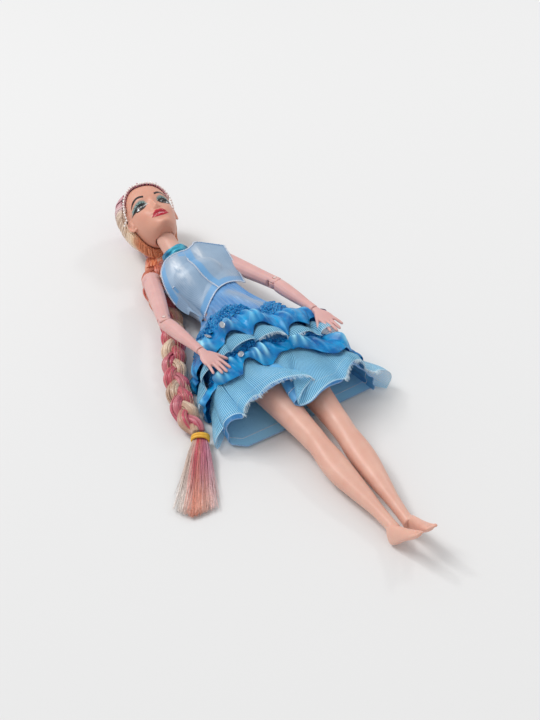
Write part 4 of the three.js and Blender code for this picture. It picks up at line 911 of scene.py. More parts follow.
def print_face():
    sheet = Printing()
    for side in (-1, 1):
        # painted shade: the white of the eye turns grey towards the upper lid
        sheet.strip(eye_low, eye_top, 0.05, (white, sclera_painted_shade), side)
        for y, radius, lift, colour in ((19.4, 2.35, 0.08, dark_iris), (19.2, 1.8, 0.1, brown_iris),
                                        (19.6, 1.3, 0.12, ink)):
            sheet.disc(6.3, y, radius, lift, colour, side)
        sheet.disc(6.3 - side * 0.6, 20.0, 0.36, 0.15, white, side, False)
        sheet.disc(6.3 + side * 0.8, 18.8, 0.2, 0.15, white, side, False)
        sheet.strip(lash_low, lash_top, 0.17, ink, side, 34, 6)
        under = [(x, y - 0.22 - 0.16 * i) for i, (x, y) in enumerate(eye_low)]
        sheet.strip(under, eye_low, 0.14, ink, side, 26, 3)
        for start, tip in lashes:
            lash = [start, ((start[0] + tip[0]) / 2 + 0.15, (start[1] + tip[1]) / 2 - 0.1), tip]
            edge = [(x + width, y) for (x, y), width in zip(lash, (0.3, 0.2, 0.04))]
            sheet.strip(lash, edge, 0.16, ink, side, 6, 2)
        sheet.strip(brow_low, brow_top, 0.12, brow_brown, side, 30, 5)
    for (low, top), lift, colours, steps, rows in ((upper_lip, 0.1, (lip_deep, lip_red), 44, 8),
                                                   (lower_lip, 0.1, (lip_red, lip_deep), 44, 8),
                                                   (teeth, 0.12, (teeth_shade, white), 30, 4)):
        sheet.strip(mirrored(low), mirrored(top), lift, colours, 1, steps, rows)
    # painted highlight: a pale shine laid along the lower lip
    sheet.strip(lip_glint, [(x, y + 0.28) for x, y in lip_glint], 0.13, lip_painted_highlight, 1, 12, 2)
    gloss = Finish("face_print", (200, 60, 60), 0.22, Specular_IOR_Level=0.6)
    gloss.surface(gloss.tinted(gloss.speckle(2, 3, 0.9, 1.0)), gloss.noise(4, 2), 0.01, 0.3)
    wear(make_piece("face_print", sheet.points, sheet.faces, gloss.material, sheet.tints), "head_vinyl", "head")


print_face()

# %% [markdown]
# ## Hair
# The hair is rooted nylon: thousands of fine fibres sewn through the scalp, combed back and gathered at
# the nape. Single fibres would be far too many, so each tube here is a small lock of them. A lock starts
# on the hairline, runs over the skull at a small height and ends at the gather. Its colour comes from
# where it is rooted: pink over the crown, cream at the sides, orange under the ears.


# %% Fibre finish
def fibre_finish():
    made = Finish("nylon_fibre", (214, 150, 150), 0.3, Specular_IOR_Level=0.7, Anisotropic=0.5, Sheen_Weight=0.25)
    return made.surface(made.tinted(made.speckle(1.1, 4, 0.8, 1.06, 0.25)), made.noise(3.2, 3), 0.08, 0.6,
                        made.speckle(0.8, 3, 0.24, 0.44, end=0.75))


fibre = fibre_finish()
pinks = looks((206, 132, 142), (192, 114, 132), (214, 150, 150), (184, 114, 136))
creams = looks((226, 192, 156), (216, 176, 140), (234, 208, 180))
oranges = looks((216, 112, 70), (204, 92, 62), (228, 142, 96))
beiges = looks((176, 140, 116), (192, 154, 128), (160, 124, 104))
magentas = looks((190, 58, 88), (176, 48, 82), (206, 80, 100))
crown_pinks = looks((234, 204, 202), (222, 162, 170), (200, 128, 148))
print("hair colours:", len(pinks + creams + oranges + beiges + magentas + crown_pinks))


def shade_of(family, luck):
    """One of a family of colours, a little lighter or darker."""
    return family[luck.integers(len(family))] * luck.uniform(0.88, 1.1)


# %% Locks over the skull
gather_place = np.array([-2.2, 3.0, -15.6])
skull_radius = 15.5
hairline = [(0, 37.2, 10.2), (5, 36.4, 9.9), (9.3, 33.4, 8.4), (12.2, 28.8, 5.6), (13.6, 23.4, 2.4),
            (14.1, 20.6, 0.0), (14.3, 17.5, -4.0), (13.8, 12, -5.2), (12.0, 6, -6.8), (8.8, 1.6, -9.0),
            (4.0, -0.6, -11.0), (0, -1.0, -11.6)]
tone_levels = (4, 12, 19, 25, 30, 37)
tones = np.array([oranges[2], creams[0], creams[2], *crown_pinks])
under_height = 2.2
# for each layer, how many locks it has and how high they lie
hair_layers = ((220, 1.6), (360, 4.0), (450, 6.2))
lock_steps = 30


def windows(values, reach):
    """For every step down a lock, the values of its neighbours."""
    wide = np.pad(values, reach, mode="edge")
    return [wide[k:k + len(values)] for k in range(2 * reach + 1)]


def lock_path(root, end, height, steps):
    """A lock from its root over the skull to its end, in the doll's axes. It bridges the ear."""
    start, finish = np.subtract(root, head_middle), np.subtract(end, head_middle)
    share = np.linspace(0, 1, steps)
    turn = between(share, math.atan2(start[2], start[1]), math.atan2(finish[2], finish[1]))
    side = between(share ** 1.9, start[0], finish[0])
    flat = np.sqrt(np.maximum(skull_radius ** 2 - side ** 2, 6.0))
    height = height * (1 - 0.6 * ease(start[0], 6, 12) * (1 - ease(start[1], 2, 8)))
    lift = height * (0.35 + 0.65 * np.sin(np.pi * np.clip(share * 0.9 + 0.08, 0, 1)) ** 0.6)
    path = np.array([on_skull((s, f * math.cos(t), f * math.sin(t)), h) for s, f, t, h in zip(side, flat, turn, lift)])
    middle = out_of_head(head_middle)
    reach = np.linalg.norm(path - middle, axis=1)
    calm = np.mean(windows(np.min(windows(reach, 3), axis=0), 2), axis=0)
    return middle + (path - middle) * (calm / reach)[:, None]


def hair_tone(height, steps):
    """Colours down a lock rooted at a height on the head: pink above, cream beside, orange at the nape."""
    share = ease(np.linspace(0, 1, steps), 0.6, 1.0)[:, None] * 0.75
    return between(share, point_at(height, tone_levels, tones), oranges[0])


def combed_hairline():
    """The line of roots round the head, and the run along it, longer where locks fan out by the ears."""
    half = through(hairline, 60)
    loop = np.vstack([half[::-1] * (-1, 1, 1), half[1:]])
    loop[:, 2] -= 2.4 * ease(loop[:, 0], 4, 10) * (1 - ease(loop[:, 1], 18, 26))
    turn = np.unwrap(np.arctan2(loop[:, 2], loop[:, 1] - head_middle[1]))
    steps = np.linalg.norm(np.diff(loop, axis=0), axis=1) + 11 * np.abs(np.diff(turn))
    return loop, np.concatenate([[0], np.cumsum(steps)])


hairline_loop, hairline_run = combed_hairline()


def make_combed_hair():
    luck = np.random.default_rng(7)
    share, paths, colours = np.linspace(0, 1, lock_steps), [], []
    grown = ease(share, 0, 0.3)[:, None]
    for layer, (count, height) in enumerate(hair_layers):
        for place in np.linspace(0, hairline_run[-1], count) + luck.uniform(-0.3, 0.3, count):
            root = point_at(place, hairline_run, hairline_loop)
            back = 0.0 if layer == 0 else luck.uniform(0.0, 0.16) * layer
            end = gather_place + np.array([luck.normal(0, 1.5), luck.normal(0, 1.0), 0])
            first = int(back * lock_steps)
            path = lock_path(root, end, height + luck.uniform(-0.2, 0.25), lock_steps)
            path = through(path[first:], lock_steps) if back else path
            if layer:
                below = lock_path(root, end, height - under_height, lock_steps)[first:]
                path = between(grown, through(below, lock_steps), path)
            paths.append(path)
            colours.append(hair_tone(root[1] - 8 * back, lock_steps) * luck.uniform(0.92, 1.07))
    paths = np.array(paths)
    width = 0.34 + 0.28 * ease(share, 0, 0.12) + 0.38 * np.sin(np.pi * share)
    wear(make_locks("combed_hair", paths, width * np.linspace(0.85, 1.15, len(paths))[:, None], 0.42, colours, 6,
                    paths - out_of_head(head_middle), None), "hair_pink", "head", "hair_cap")


make_combed_hair()


# %% [markdown]
# Under the locks lies a thin layer of the same fibre, so that no bald skin shows between them.


# %% Under layer
def make_under_layer(rows=40, columns=150):
    luck = np.random.default_rng(3)
    points, colours = [], []
    for place in np.linspace(0, hairline_run[-1], columns):
        root = point_at(place, hairline_run, hairline_loop)
        points.append(lock_path(root, gather_place, under_height, rows))
        colours.append(hair_tone(root[1], rows) * luck.uniform(0.96, 1.06))
    wear(make_piece("under_hair", np.vstack(points), ring_faces(columns, rows, False), fibre, np.vstack(colours)),
         "hair_pink", "head")


make_under_layer()

# %% [markdown]
# ## Beads
# A string of small pearly beads is glued along the hairline, from one ear over the forehead to the
# other. Each bead is turned a little off round, and a thread runs through them all.

# %% Bead string
bead_radius, bead_pitch, bead_lift = 0.64, 1.65, 1.9


def make_beads():
    pearl = Finish("pearl", (250, 244, 238), 0.16, Coat_Weight=0.6, Coat_Roughness=0.1)
    pearl.surface(pearl.ramp(pearl.noise(0.9, 2), (0.3, (246, 226, 226)), (0.55, (252, 248, 240)),
                             (0.8, (232, 240, 246))), pearl.noise(5, 2), 0.01, 0.3)
    line = np.array([on_skull(p - head_middle, bead_lift) for p in hairline_loop if p[1] > 19.4])
    gone = spans(line)
    count = int(gone[-1] / bead_pitch)
    places = (np.arange(count) + 0.5) * gone[-1] / count
    centres = point_at(places, gone, line)
    bodies = []
    for centre, ahead in zip(centres, unit(point_at(places + 0.3, gone, line) - centres)):
        aside = unit(np.cross(ahead, upward))
        bodies.append(ball(centre, bead_radius, ahead * 0.94, 14, 9, 0.12, aside, np.cross(aside, ahead)))
    thread = bundle(through(centres, 240)[None], 0.2, 0.2, upward, 6)
    wear(make_piece("bead_string_fine", *merged(thread, *bodies), pearl.material), "pearl", "head", "bead_string")


make_beads()

# %% [markdown]
# ## Braid
# Three thick strands cross over each other from the nape to the doll's right knee. A strand's middle
# swings from side to side once for each turn of the braid and rises where it passes over the others.
# Each strand is itself a bundle of locks, so its surface has the run of combed fibre.

# %% Route of the braid
braid_width, braid_thickness, braid_turn = 11.5, 8.2, 33.0
braid_route = [(-7.5, 99, 4.6), (-13.4, 90, 4.4), (-18.4, 79, 4.3), (-20.6, 66, 4.3), (-22.4, 52, 4.5),
               (-29, 36, 4.8), (-36.6, 21, 4.8), (-42.8, 7, 4.8), (-48, -7, 4.8), (-51.6, -21, 4.8),
               (-51.9, -36, 4.8)]
braid_line = through(braid_route, 240)
braid_gone = spans(braid_line)
braid_length = braid_gone[-1]
braid_end = np.array(braid_route[-1])
tail_way = unit(np.array([-0.53, -0.85, 0]))
tail_side = np.cross(upward, tail_way)
print("braid length", round(braid_length, 1), "mm")


def offset(line, side, rise, across, high):
    """A line moved sideways and up at each of its points."""
    return line + side * np.asarray(across)[:, None] + rise * np.asarray(high)[:, None]


# %% Braid strands
strand_tones = ((magentas[0], look(206, 120, 128)), (beiges[1], creams[2]), (magentas[2], beiges[1]))
# for each ring of locks round a strand's middle, its reach, how many locks it has and their half width
strand_rings = ((0.0, 1, 1.8), (0.5, 8, 1.35), (0.94, 42, 0.4))


def braid_strand(phase, distance):
    """The middle of a strand, and how plump it is."""
    middle = point_at(distance, braid_gone, braid_line)
    _, side, rise = directions(middle)
    ends = (ease(distance, -6, 14) * 0.25 + 0.75) * (1 - 0.45 * ease(distance, braid_length - 14, braid_length))
    angle = 2 * math.pi * distance / braid_turn + phase
    path = offset(middle, side, rise, braid_width * 0.285 * ends * np.sin(angle),
                  braid_thickness * 0.2 * ends * np.sin(2 * angle))
    return path, ends * (0.92 + 0.2 * np.cos(angle * 2 + 0.5) ** 2)


def make_braid():
    luck = np.random.default_rng(11)
    distance = np.linspace(0.6, braid_length * 0.985, 190)
    near_nape = (0.8 * (1 - ease(distance, 12, 58)))[:, None]
    paths, colours, widths = [], [], []
    for k, (base, accent) in enumerate(strand_tones):
        path, plump = braid_strand(k * 2 * math.pi / 3, distance)
        _, side, rise = directions(path)
        for ring, count, lock in strand_rings:
            for i in range(count):
                turn = 2 * math.pi * i / count + luck.uniform(-0.15, 0.15)
                wander = turn + 0.5 * np.sin(distance / 19 + luck.uniform(0, 6)) + distance * 0.012
                reach = plump * ring
                paths.append(offset(path, side, rise, 3.05 * reach * np.cos(wander), 2.35 * reach * np.sin(wander)))
                widths.append(plump * lock)
                slow = 0.5 + 0.5 * np.sin(distance / 15 + k * 2.1 + 0.8 * turn)
                mixing = np.clip(slow ** 2 + luck.uniform(-0.06, 0.06), 0, 1)[:, None]
                own = between(mixing, base, accent) * luck.uniform(0.95, 1.05)
                colours.append(between(near_nape, own, oranges[k]))
    widths = np.array(widths)
    wear(make_locks("braid_strands", paths, widths, widths * 0.8, colours, 6), "hair_pink", "torso", "braid")


make_braid()


# %% Stray hairs
def make_strays(steps=24):
    luck = np.random.default_rng(5)
    paths, colours = [], []
    arc = np.sin(np.pi * np.linspace(0, 1, steps))
    for _ in range(46):
        start = luck.uniform(4, braid_length - 34)
        middle = point_at(np.linspace(start, start + luck.uniform(14, 30), steps), braid_gone, braid_line)
        _, side, rise = directions(middle)
        edge = luck.choice((-1, 1)) * luck.uniform(0.1, 1)
        bow = braid_width * 0.5 * edge * (1 + 0.16 * arc * luck.uniform(0, 1.6))
        height = np.sqrt(np.clip(1.05 - edge ** 2, 0.02, 1)) * braid_thickness * 0.5 + luck.uniform(0, 0.5)
        paths.append(offset(middle, side, rise, bow, height * (0.55 + 0.5 * arc)))
        colours.append(shade_of((pinks, creams, beiges, oranges)[luck.integers(4)], luck))
    wear(make_locks("stray_hairs", paths, 0.11, 0.11, colours, 4, lowest=0.1), "hair_pink", "torso")


make_strays()

# %% [markdown]
# A small rubber band holds the end of the braid. It is wound round a few times, so it shows as ridges,
# and below it the hair opens into a fan that lies on the table.

# %% Rubber band
band_width, band_wire, band_turns = 4.4, 0.68, 4


def make_band():
    rubber = simple_finish("rubber_band", (232, 176, 52), 0.45, (222, 160, 40), (240, 190, 70), (0.7, 3), (3, 3),
                           0.04, 0.6)
    turn = np.linspace(0, 2 * math.pi * band_turns, 190)
    ahead = band_width * (0.12 + 0.76 * turn / turn[-1]) + 0.35 * np.sin(turn * 0.5)
    path = offset(braid_end + tail_way * ahead[:, None], tail_side, np.array(upward), 4.15 * np.cos(turn),
                  2.75 * np.sin(turn) - 0.7)
    points, faces = bundle(path[None], band_wire, band_wire, tail_way, 8)
    points[:, 2] = np.maximum(points[:, 2], 0.15)
    wear(make_piece("rubber_band", points, faces, rubber), "hair_band", "torso", "braid_band")


make_band()

# %% Loose tail
tail_length, tail_root, tail_spread = 48, 3.3, 20
streak_places = (-1.0, -0.5, -0.25, 0.0, 0.4, 1.0)
near_tones = np.array(looks((208, 186, 172), (198, 150, 140), (204, 62, 84), (194, 124, 108), (188, 84, 112),
                            (200, 140, 158)))
far_tones = np.array(looks((242, 234, 228), (240, 220, 210), (240, 176, 158), (242, 158, 130), (238, 184, 166),
                           (230, 196, 194)))


def make_tail():
    luck = np.random.default_rng(23)
    share, paths, colours = np.linspace(0, 1, 22), [], []
    mixing = ease(share, 0.35, 1.0)[:, None]
    for _ in range(900):
        fan = np.clip(luck.normal(0, 0.46), -1, 1)
        layer = luck.uniform(-1, 1)
        length = tail_length * (1.05 - 0.1 * abs(fan + 0.15) - 0.26 * luck.random() ** 1.6)
        root = tail_side * (tail_root * fan) + (0, 0, 1.5 * layer * math.sqrt(max(0, 1 - fan ** 2)) - 1.0)
        spread = fan * (tail_spread / 2 - tail_root) * share ** 1.05 + luck.normal(0, 0.5) * share ** 2
        wave = luck.uniform(0.2, 0.9) * np.sin(share * luck.uniform(2, 7) + luck.uniform(0, 6)) * share
        drop = -(1.9 + 0.8 * layer) * ease(share, 0.3, 0.95) + 1.3 * bump(share, 0.3, 0.16)
        path = offset(braid_end + root + tail_way * (0.6 + length * share)[:, None], tail_side, np.array(upward),
                      spread + wave, drop)
        path[:, 2] = np.maximum(path[:, 2], 0.35 + 0.3 * luck.random())
        paths.append(path)
        streak = np.clip(fan + luck.normal(0, 0.1), -1, 1)
        colours.append(between(mixing, point_at(streak, streak_places, near_tones),
                               point_at(streak, streak_places, far_tones)) * luck.uniform(0.9, 1.06))
    widths = (0.26 * (1 - 0.6 * share))[None] * luck.uniform(0.6, 1.2, (len(paths), 1))
    wear(make_locks("tail_locks", paths, widths, widths * 0.7, colours, 5, lowest=0.1), "hair_pale", "torso",
         "braid_tail")


make_tail()

# %% [markdown]
# Between the head and the braid the gathered hair passes behind the neck. It is made in two parts,
# an upper one by the head and a lower one by the braid.

# %% Hair behind the neck
nape_steps = 24
nape_start = out_of_head([(-0.4, 14, -17.6), (-1.4, 7, -17.6), (-2.6, 0.5, -16.2)])
nape_start[:, 2] = np.maximum(nape_start[:, 2], 4.4)
nape_route = through([*nape_start, (-6.2, 101.5, 4.6), braid_route[0], (-9.8, 95.6, 4.5)], 60)
nape_half_widths = [(0, 8.6), (0.25, 7.4), (0.6, 5.6), (1, 4.9)]
nape_heights = [(0, 2.4), (0.25, 3.6), (0.6, 3.7), (1, 3.4)]


def make_nape_part(name, low, high, seed):
    luck = np.random.default_rng(seed)
    line = through(nape_route[int(low * 59):int(high * 59) + 1], nape_steps)
    _, side, rise = directions(line)
    share = np.linspace(low, high, nape_steps)
    half, tall = read_off(share, nape_half_widths), read_off(share, nape_heights)
    paths, colours = [], []
    for _ in range(330):
        turn = luck.uniform(0, 2 * math.pi)
        reach = 1 - 0.55 * luck.random() ** 2
        twist = turn + 0.3 * np.sin(share * 4 + luck.uniform(0, 6))
        paths.append(offset(line, side, rise, half * reach * np.cos(twist), tall * reach * np.sin(twist)))
        warm = 0.5 + 0.5 * math.sin(2 * turn + 1.2) + luck.uniform(-0.2, 0.2)
        colours.append(shade_of(oranges if warm < 0.55 else creams if warm < 0.8 else pinks, luck))
    piece = wear(make_locks(name, paths, 0.42, 0.36, colours, 5), "hair_orange", None, "nape_gather")
    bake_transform(piece)


make_nape_part("nape_hair", 0.0, 0.62, 31)
make_nape_part("braid_root", 0.55, 1.0, 37)

# %% [markdown]
# ## Cloth helpers
# The dress is made of separate sheets of very thin cloth: sheer organza, bright satin and stiff net. A
# sheet here is a grid of points with its own coordinates in millimetres of cloth, so that ribs, weave
# and stitches keep their real size however the sheet is gathered.

# %% A sheet of cloth from a grid
sheet_sizes = {}


def run_along(grid, axis):
    """Distances down the columns (0) or along the rows (1) of a grid of points."""
    return np.cumsum(np.insert(np.linalg.norm(np.diff(grid, axis=axis), axis=2), 0, 0, axis=axis), axis=axis)


def hang(piece):
    """Fixes a piece's place into its points; the piece rides no body."""
    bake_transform(piece)
    return piece


def make_sheet(name, grid, material, slot, node, marks=None, leg=None):
    """A sheet from rows of points. Its flat size is measured along its own two directions."""
    rows, columns = grid.shape[:2]
    run, fall = run_along(grid, 1), run_along(grid, 0)
    marks = {key: np.broadcast_to(values, (rows, columns)) for key, values in (marks or {}).items()}
    maps = np.stack([np.broadcast_to(run[-1], (rows, columns)), fall], axis=-1).reshape(-1, 2)
    piece = make_piece(name, grid.reshape(-1, 3), ring_faces(rows, columns, False), material, None, marks, maps)
    wear(piece, slot, None if leg else "torso", node)
    if leg:
        hang(piece)
    cloth = bmesh.new()
    cloth.from_mesh(piece.data)
    area = sum(face.calc_area() for face in cloth.faces) / MM ** 2
    cloth.free()
    width, length = run[:, -1].max(), fall[-1].max()
    sheet_sizes[name] = (round(float(width), 1), round(float(length), 1))


# %% Stitched piping
seam_up = (0.02, 0.03, 1)


def piping(name, line, radius, material, slot, body=None, pitch=0.9, lift=0.0):
    """An overlock edge: a soft cord with slanting stitches over it."""
    gone = spans(line)
    fine = np.linspace(0, gone[-1], max(12, int(gone[-1] / 0.5)))
    path = point_at(fine, gone, line)
    path[:, 2] += lift
    way, side, rise = directions(path, seam_up)
    turn = np.linspace(-1.2, 1.2, 7)[:, None]
    stitches = []
    for place in np.arange(pitch / 2, gone[-1], pitch):
        k = min(len(fine) - 1, int(np.searchsorted(fine, place)))
        stitches.append(path[k] + side[k] * (radius * 1.02 * np.sin(turn)) + rise[k] * (radius * 0.9 * np.cos(turn))
                        + way[k] * (turn * 0.28))
    bodies = bundle(path[None], radius * 0.72, radius * 0.6, seam_up, 6), bundle(stitches, 0.13, 0.13, seam_up, 4)
    return wear(make_piece(name, *merged(*bodies), material), slot, body)


def thread_finish(name, colour):
    return simple_finish(name, colour, 0.55, darker(colour, 0.9), colour, (2, 3), (6, 2), 0.05, 0.6, Sheen_Weight=0.3)


white_thread = thread_finish("white_thread", (226, 236, 250))
blue_thread = thread_finish("blue_thread", (120, 176, 226))
print("threads:", white_thread.name, blue_thread.name)

# %% [markdown]
# Organza is woven from very fine stiff thread. It is half see-through, looks grey-blue over skin, and
# has fine ribs and a silvery sheen, which is painted here as pale silver patches: a painted sheen. Along
# each seam the folded allowance doubles it, which shows as a lighter, bluer band.


# %% Organza
def organza_finish():
    made = Finish("organza", (150, 168, 208), 0.36, Specular_IOR_Level=0.6, Sheen_Weight=0.4, Anisotropic=0.5)
    run, fall = made.split_map()
    weave = made.times(made.waves(run, 0.62), made.times(made.waves(fall, 0.5), 0.3, 0.7))
    base = made.mix(made.times(weave, 0.3), made.speckle(0.12, 3, (120, 150, 180), (140, 168, 196)), (176, 200, 220))
    banded = made.mix(made.times(made.mark("band"), 0.9), base, (92, 158, 210))
    # painted sheen: pale silver patches where the mark is set
    silver = made.times(made.mark("sheen"), made.speckle(0.5, 4, 0.15, 1.0, 0.35, 0.65, (1, 0.25, 1)))
    return made.surface(made.mix(silver, banded, (218, 226, 236)), weave, 0.07, 0.7, made.times(silver, -0.12, 0.4))


organza = organza_finish()
print("finish:", organza.name)

# %% [markdown]
# ## Bodice
# The front is two panels joined by a seam down the middle. They are cut straight, so on the doll's left
# the panel stands off the body like a flap, while on its right it wraps round the side. The surface is
# filled in between its four edges and then kept just clear of the chest.

# %% Front of the bodice
front_low = [(-12, 31.2, 13), (-8.6, 33, 19.6), (-3.4, 36, 23.6), (1.8, 38.8, 25), (8.4, 40.8, 24.6),
             (15.5, 42.6, 21.5), (21.5, 44.2, 17)]
front_top = [(-13.5, 76.5, 20.5), (-10.5, 78.4, 22.4), (-6.5, 78.4, 24.6), (-2, 77.4, 26), (2.5, 76.6, 26.6),
             (7, 78.4, 26.8), (11.2, 80.6, 26), (24, 72.4, 24)]
edge_right = [(-12, 31.2, 13), (-14.2, 39, 11), (-18.2, 46.6, 12.2), (-19.8, 54, 15.2), (-19.6, 62, 18.8),
              (-17.4, 70, 21.4), (-13.5, 76.5, 20.5)]
edge_left = [(21.5, 44.2, 17), (22.4, 54, 19.6), (23.3, 63.5, 22), (24, 72.4, 24)]
front_rows, front_columns = 70, 121
cloth_clearance = 0.7
armhole_start, seam_end = 0.42, 0.74


def front_of_torso(x, y):
    """Height of the chest's surface above the table at a place in plan."""
    width, back, front = torso_sizes(y)
    across = np.clip(np.abs(x) / width, 0, 0.999)
    return (back + front) / 2 + (front - back) / 2 * (1 - across ** chest_power) ** (1 / chest_power)


def filled(low, top, start, end, rows, columns):
    """A surface between four edges."""
    u, v = np.linspace(0, 1, columns)[None, :, None], np.linspace(0, 1, rows)[:, None, None]
    low, top = through(low, columns)[None], through(top, columns)[None]
    start, end = through(start, rows)[:, None], through(end, rows)[:, None]
    corners = between(v, between(u, low[:, :1], low[:, -1:]), between(u, top[:, :1], top[:, -1:]))
    return between(v, low, top) + between(u, start, end) - corners


def front_form():
    """The front of the bodice over the chest, and shares across and up it."""
    grid = filled(front_low, front_top, edge_right, edge_left, front_rows, front_columns)
    u, v = np.linspace(0, 1, front_columns)[None], np.linspace(0, 1, front_rows)[:, None]
    grid[..., 2] += 1.6 * np.sin(math.pi * v) ** 0.7 * np.sin(math.pi * u) ** 0.6
    over = np.abs(grid[..., 0]) < 15.5
    body = front_of_torso(grid[..., 0], grid[..., 1]) + cloth_clearance
    lift = np.maximum(0, body - grid[..., 2]) * over
    for _ in range(3):
        lift = np.maximum(lift, (np.roll(lift, 1, 1) + np.roll(lift, -1, 1)) / 2 * over)
    creases = 0.35 * np.sin(u * 16 + v * 5) * bump(v, 0.12, 0.16) + 0.25 * np.sin(v * 17 - u * 9) * bump(u, 0.85, 0.2)
    grid[..., 2] += lift
    grid[..., 2] += creases * np.sin(math.pi * u) * np.sin(math.pi * np.clip(v + 0.05, 0, 1))
    return grid, u, v


def make_front():
    grid, u, v = front_form()
    middle = front_columns // 2
    across, up = run_along(grid, 1), run_along(grid, 0)
    from_seam = np.abs(across - across[:, [middle]])
    edge = np.minimum(np.where(v > armhole_start, across, 9), up * 0.9)
    edge = np.minimum(edge, np.where(u > 0.5, from_seam, 9))
    edge = np.minimum(edge, np.where(u < 0.5, from_seam * 1.2 + 9 * (1 - ease(v, seam_end, 0.86)), 9))
    # painted sheen: two silvery highlight streaks down the panels
    sheen = (bump(u, 0.3 + 0.05 * (0.6 - v), 0.07) * bump(v, 0.66, 0.24)
             + 0.9 * bump(u, 0.7 + 0.1 * (v - 0.7), 0.07) * bump(v, 0.74, 0.16)) * 1.25
    marks = {"band": 1 - ease(edge, 4.0, 5.0), "sheen": np.clip(sheen, 0, 1)}
    for name, part in (("right", slice(0, middle + 1)), ("left", slice(middle, front_columns))):
        make_sheet(f"bodice_panel_{name}", grid[:, part], organza, "organza", f"bodice_front_{name}",
                   {key: values[:, part] for key, values in marks.items()})
    white_edges = {"centre_seam": grid[:int(front_rows * seam_end), middle], "waist_seam": grid[0],
                   "armhole_right": grid[int(front_rows * armhole_start):, 0], "armhole_left": grid[:, -1],
                   "neck_edge": grid[-1, :int(front_columns * 0.86)]}
    for name, line in white_edges.items():
        piping(f"piping_{name}", line, 0.5, white_thread, "pale_satin", "torso", lift=0.25)
    piping("shoulder_fold", grid[-1, int(front_columns * 0.83):], 0.28, blue_thread, "organza", "torso")


make_front()

# %% Back of the bodice
# start and end round the torso in degrees, and the height of the lower edge there
back_panels = {"right": (158, 262, 30.8, 37), "left": (278, 366, 38, 46.8)}


def make_back():
    for name, (start, end, low_start, low_end) in back_panels.items():
        angles, v = np.linspace(start, end, 40)[None], np.linspace(0, 1, 40)[:, None]
        share = (angles - start) / (end - start)
        low = low_start + (low_end - low_start) * share
        top = 78 - 21 * ease(share if name == "left" else 1 - share, 0.42, 1.0)
        heights = low + (top - low) * v
        grid = torso_at(heights, angles + 0 * heights, 1.3 + 0.25 * np.sin(angles * 0.21 + v * 4) * (1 - v))
        grid[..., 2] = np.maximum(grid[..., 2], 0.75 + 0.05 * np.sin(angles * 0.4))
        edge = np.minimum(0.9 * np.arange(1, 41)[:, None], (top - heights) * 0.9)
        # the second mark paints a faint sheen across the middle of each back panel
        make_sheet(f"bodice_back_panel_{name}", grid, organza, "organza", f"bodice_back_{name}",
                   {"band": 1 - ease(edge, 3.5, 4.6), "sheen": 0.35 * bump(share, 0.5, 0.2)})
        piping(f"piping_back_{name}", grid[-1], 0.4, white_thread, "pale_satin", "torso")


make_back()

# %% [markdown]
# The back closes with two strips of hook and loop tape. One strip is covered in tiny stiff hooks and
# the other in soft loops, so both look furry up close, with a stitched edge all round.


# %% Closure tape
def make_tape(node, relief):
    low, high = (measured(corner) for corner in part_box(node))
    tape = simple_finish(f"{node}_tape", (120, 172, 226), 0.85, (96, 150, 210), (140, 190, 236), (2.2, 4), (5, 2),
                         relief, 0.9, Sheen_Weight=0.5)
    middle, half = (low + high) / 2, (high - low) / 2
    rings = []
    for y in np.linspace(low[1] + 0.2, high[1] - 0.2, 60):
        across = half[0] - 0.25 + 0.12 * math.sin(y * 2.1) + 0.07 * math.sin(y * 5.3)
        rings.append(section((middle[0], y, middle[2]), (across, half[2], half[2]), 28, 6))
    wear(make_piece(f"{node}_cloth", *loft(rings), tape), "closure_tape", "torso", node)


make_tape("closure_hook_strip", 0.15)
make_tape("closure_loop_strip", 0.25)

# %% [markdown]
# ## Collar
# The collar is a ribbon of teal satin, folded over itself and drawn tight round the neck. Its soft long
# folds are what make it read as satin, so the ribbon's section has ridges that wander along it.


# %% Satin
def satin_finish(name, colour, dark, pale, rough=0.26, gloss=0.45, mark="crest", lit=None, painted_streak_pitch=0):
    """Satin in three colours that vary at random. The mark, where a piece has it, paints light: it shifts the colour
    towards lit, as a painted highlight on the tops of folds or as painted light on cloth that lies in shade. A streak
    pitch adds painted highlight streaks along the cloth, with painted shade between them.
    """
    made = Finish(name, colour, rough, Specular_IOR_Level=gloss, Anisotropic=0.6, Coat_Weight=gloss * 0.5,
                  Coat_Roughness=0.14)
    run, fall = made.split_map()
    base = made.ramp(made.noise(0.13, 3), (0.34, dark), (0.5, colour), (0.68, pale))
    share = made.math("POWER", made.mark(mark), 0.95 if painted_streak_pitch else 2.0)
    threads = made.times(made.waves(run, 0.24), made.times(made.waves(fall, 0.9), 0.4, 0.6))
    soft = made.times(made.noise(0.45, 3), 1.0, made.times(threads, 0.12))
    if painted_streak_pitch:
        # painted highlight streaks run along the cloth, with painted shade between them
        streak = made.math("POWER", made.waves(made.times(made.noise(0.07, 1), 9, run), painted_streak_pitch), 1.8)
        base = made.mix(streak, made.mix(0.3, base, dark), base)
        share = made.times(share, made.times(streak, 0.8, 0.2))
        soft = made.times(streak, 0.35, soft)
    return made.surface(made.mix(share, base, lit or pale), soft, 0.28, 0.7, made.times(threads, 0.1, rough))


teal_satin = satin_finish("collar_satin", (0, 132, 174), (0, 98, 142), (60, 180, 206))
blue_satin = satin_finish("bright_satin", (0, 136, 202), (0, 92, 162), (0, 162, 222), 0.18, 0.26,
                          lit=(168, 236, 254), painted_streak_pitch=5.6)
# the mark paints light: the cloth lying flat underneath, which is in shade, is painted paler
pale_satin = satin_finish("pale_satin", (96, 172, 226), (78, 150, 210), (122, 194, 238), 0.34, 0.4, "inside",
                          (160, 222, 255))
print("satins:", teal_satin.name, blue_satin.name, pale_satin.name)

# %% Collar ribbon
# how far the ribbon's section stands out from the neck, and how high up it
collar_section = [(-0.75, 2.0), (-0.8, 0.6), (-0.1, -0.5), (0.7, 0.1), (1.1, 1.3), (0.7, 2.3), (1.15, 3.5),
                  (0.9, 4.8), (0.2, 5.7), (-0.7, 5.2), (-0.75, 3.6)]
collar_radius, collar_place = neck_radius * 1.12 + 0.8, 2.5


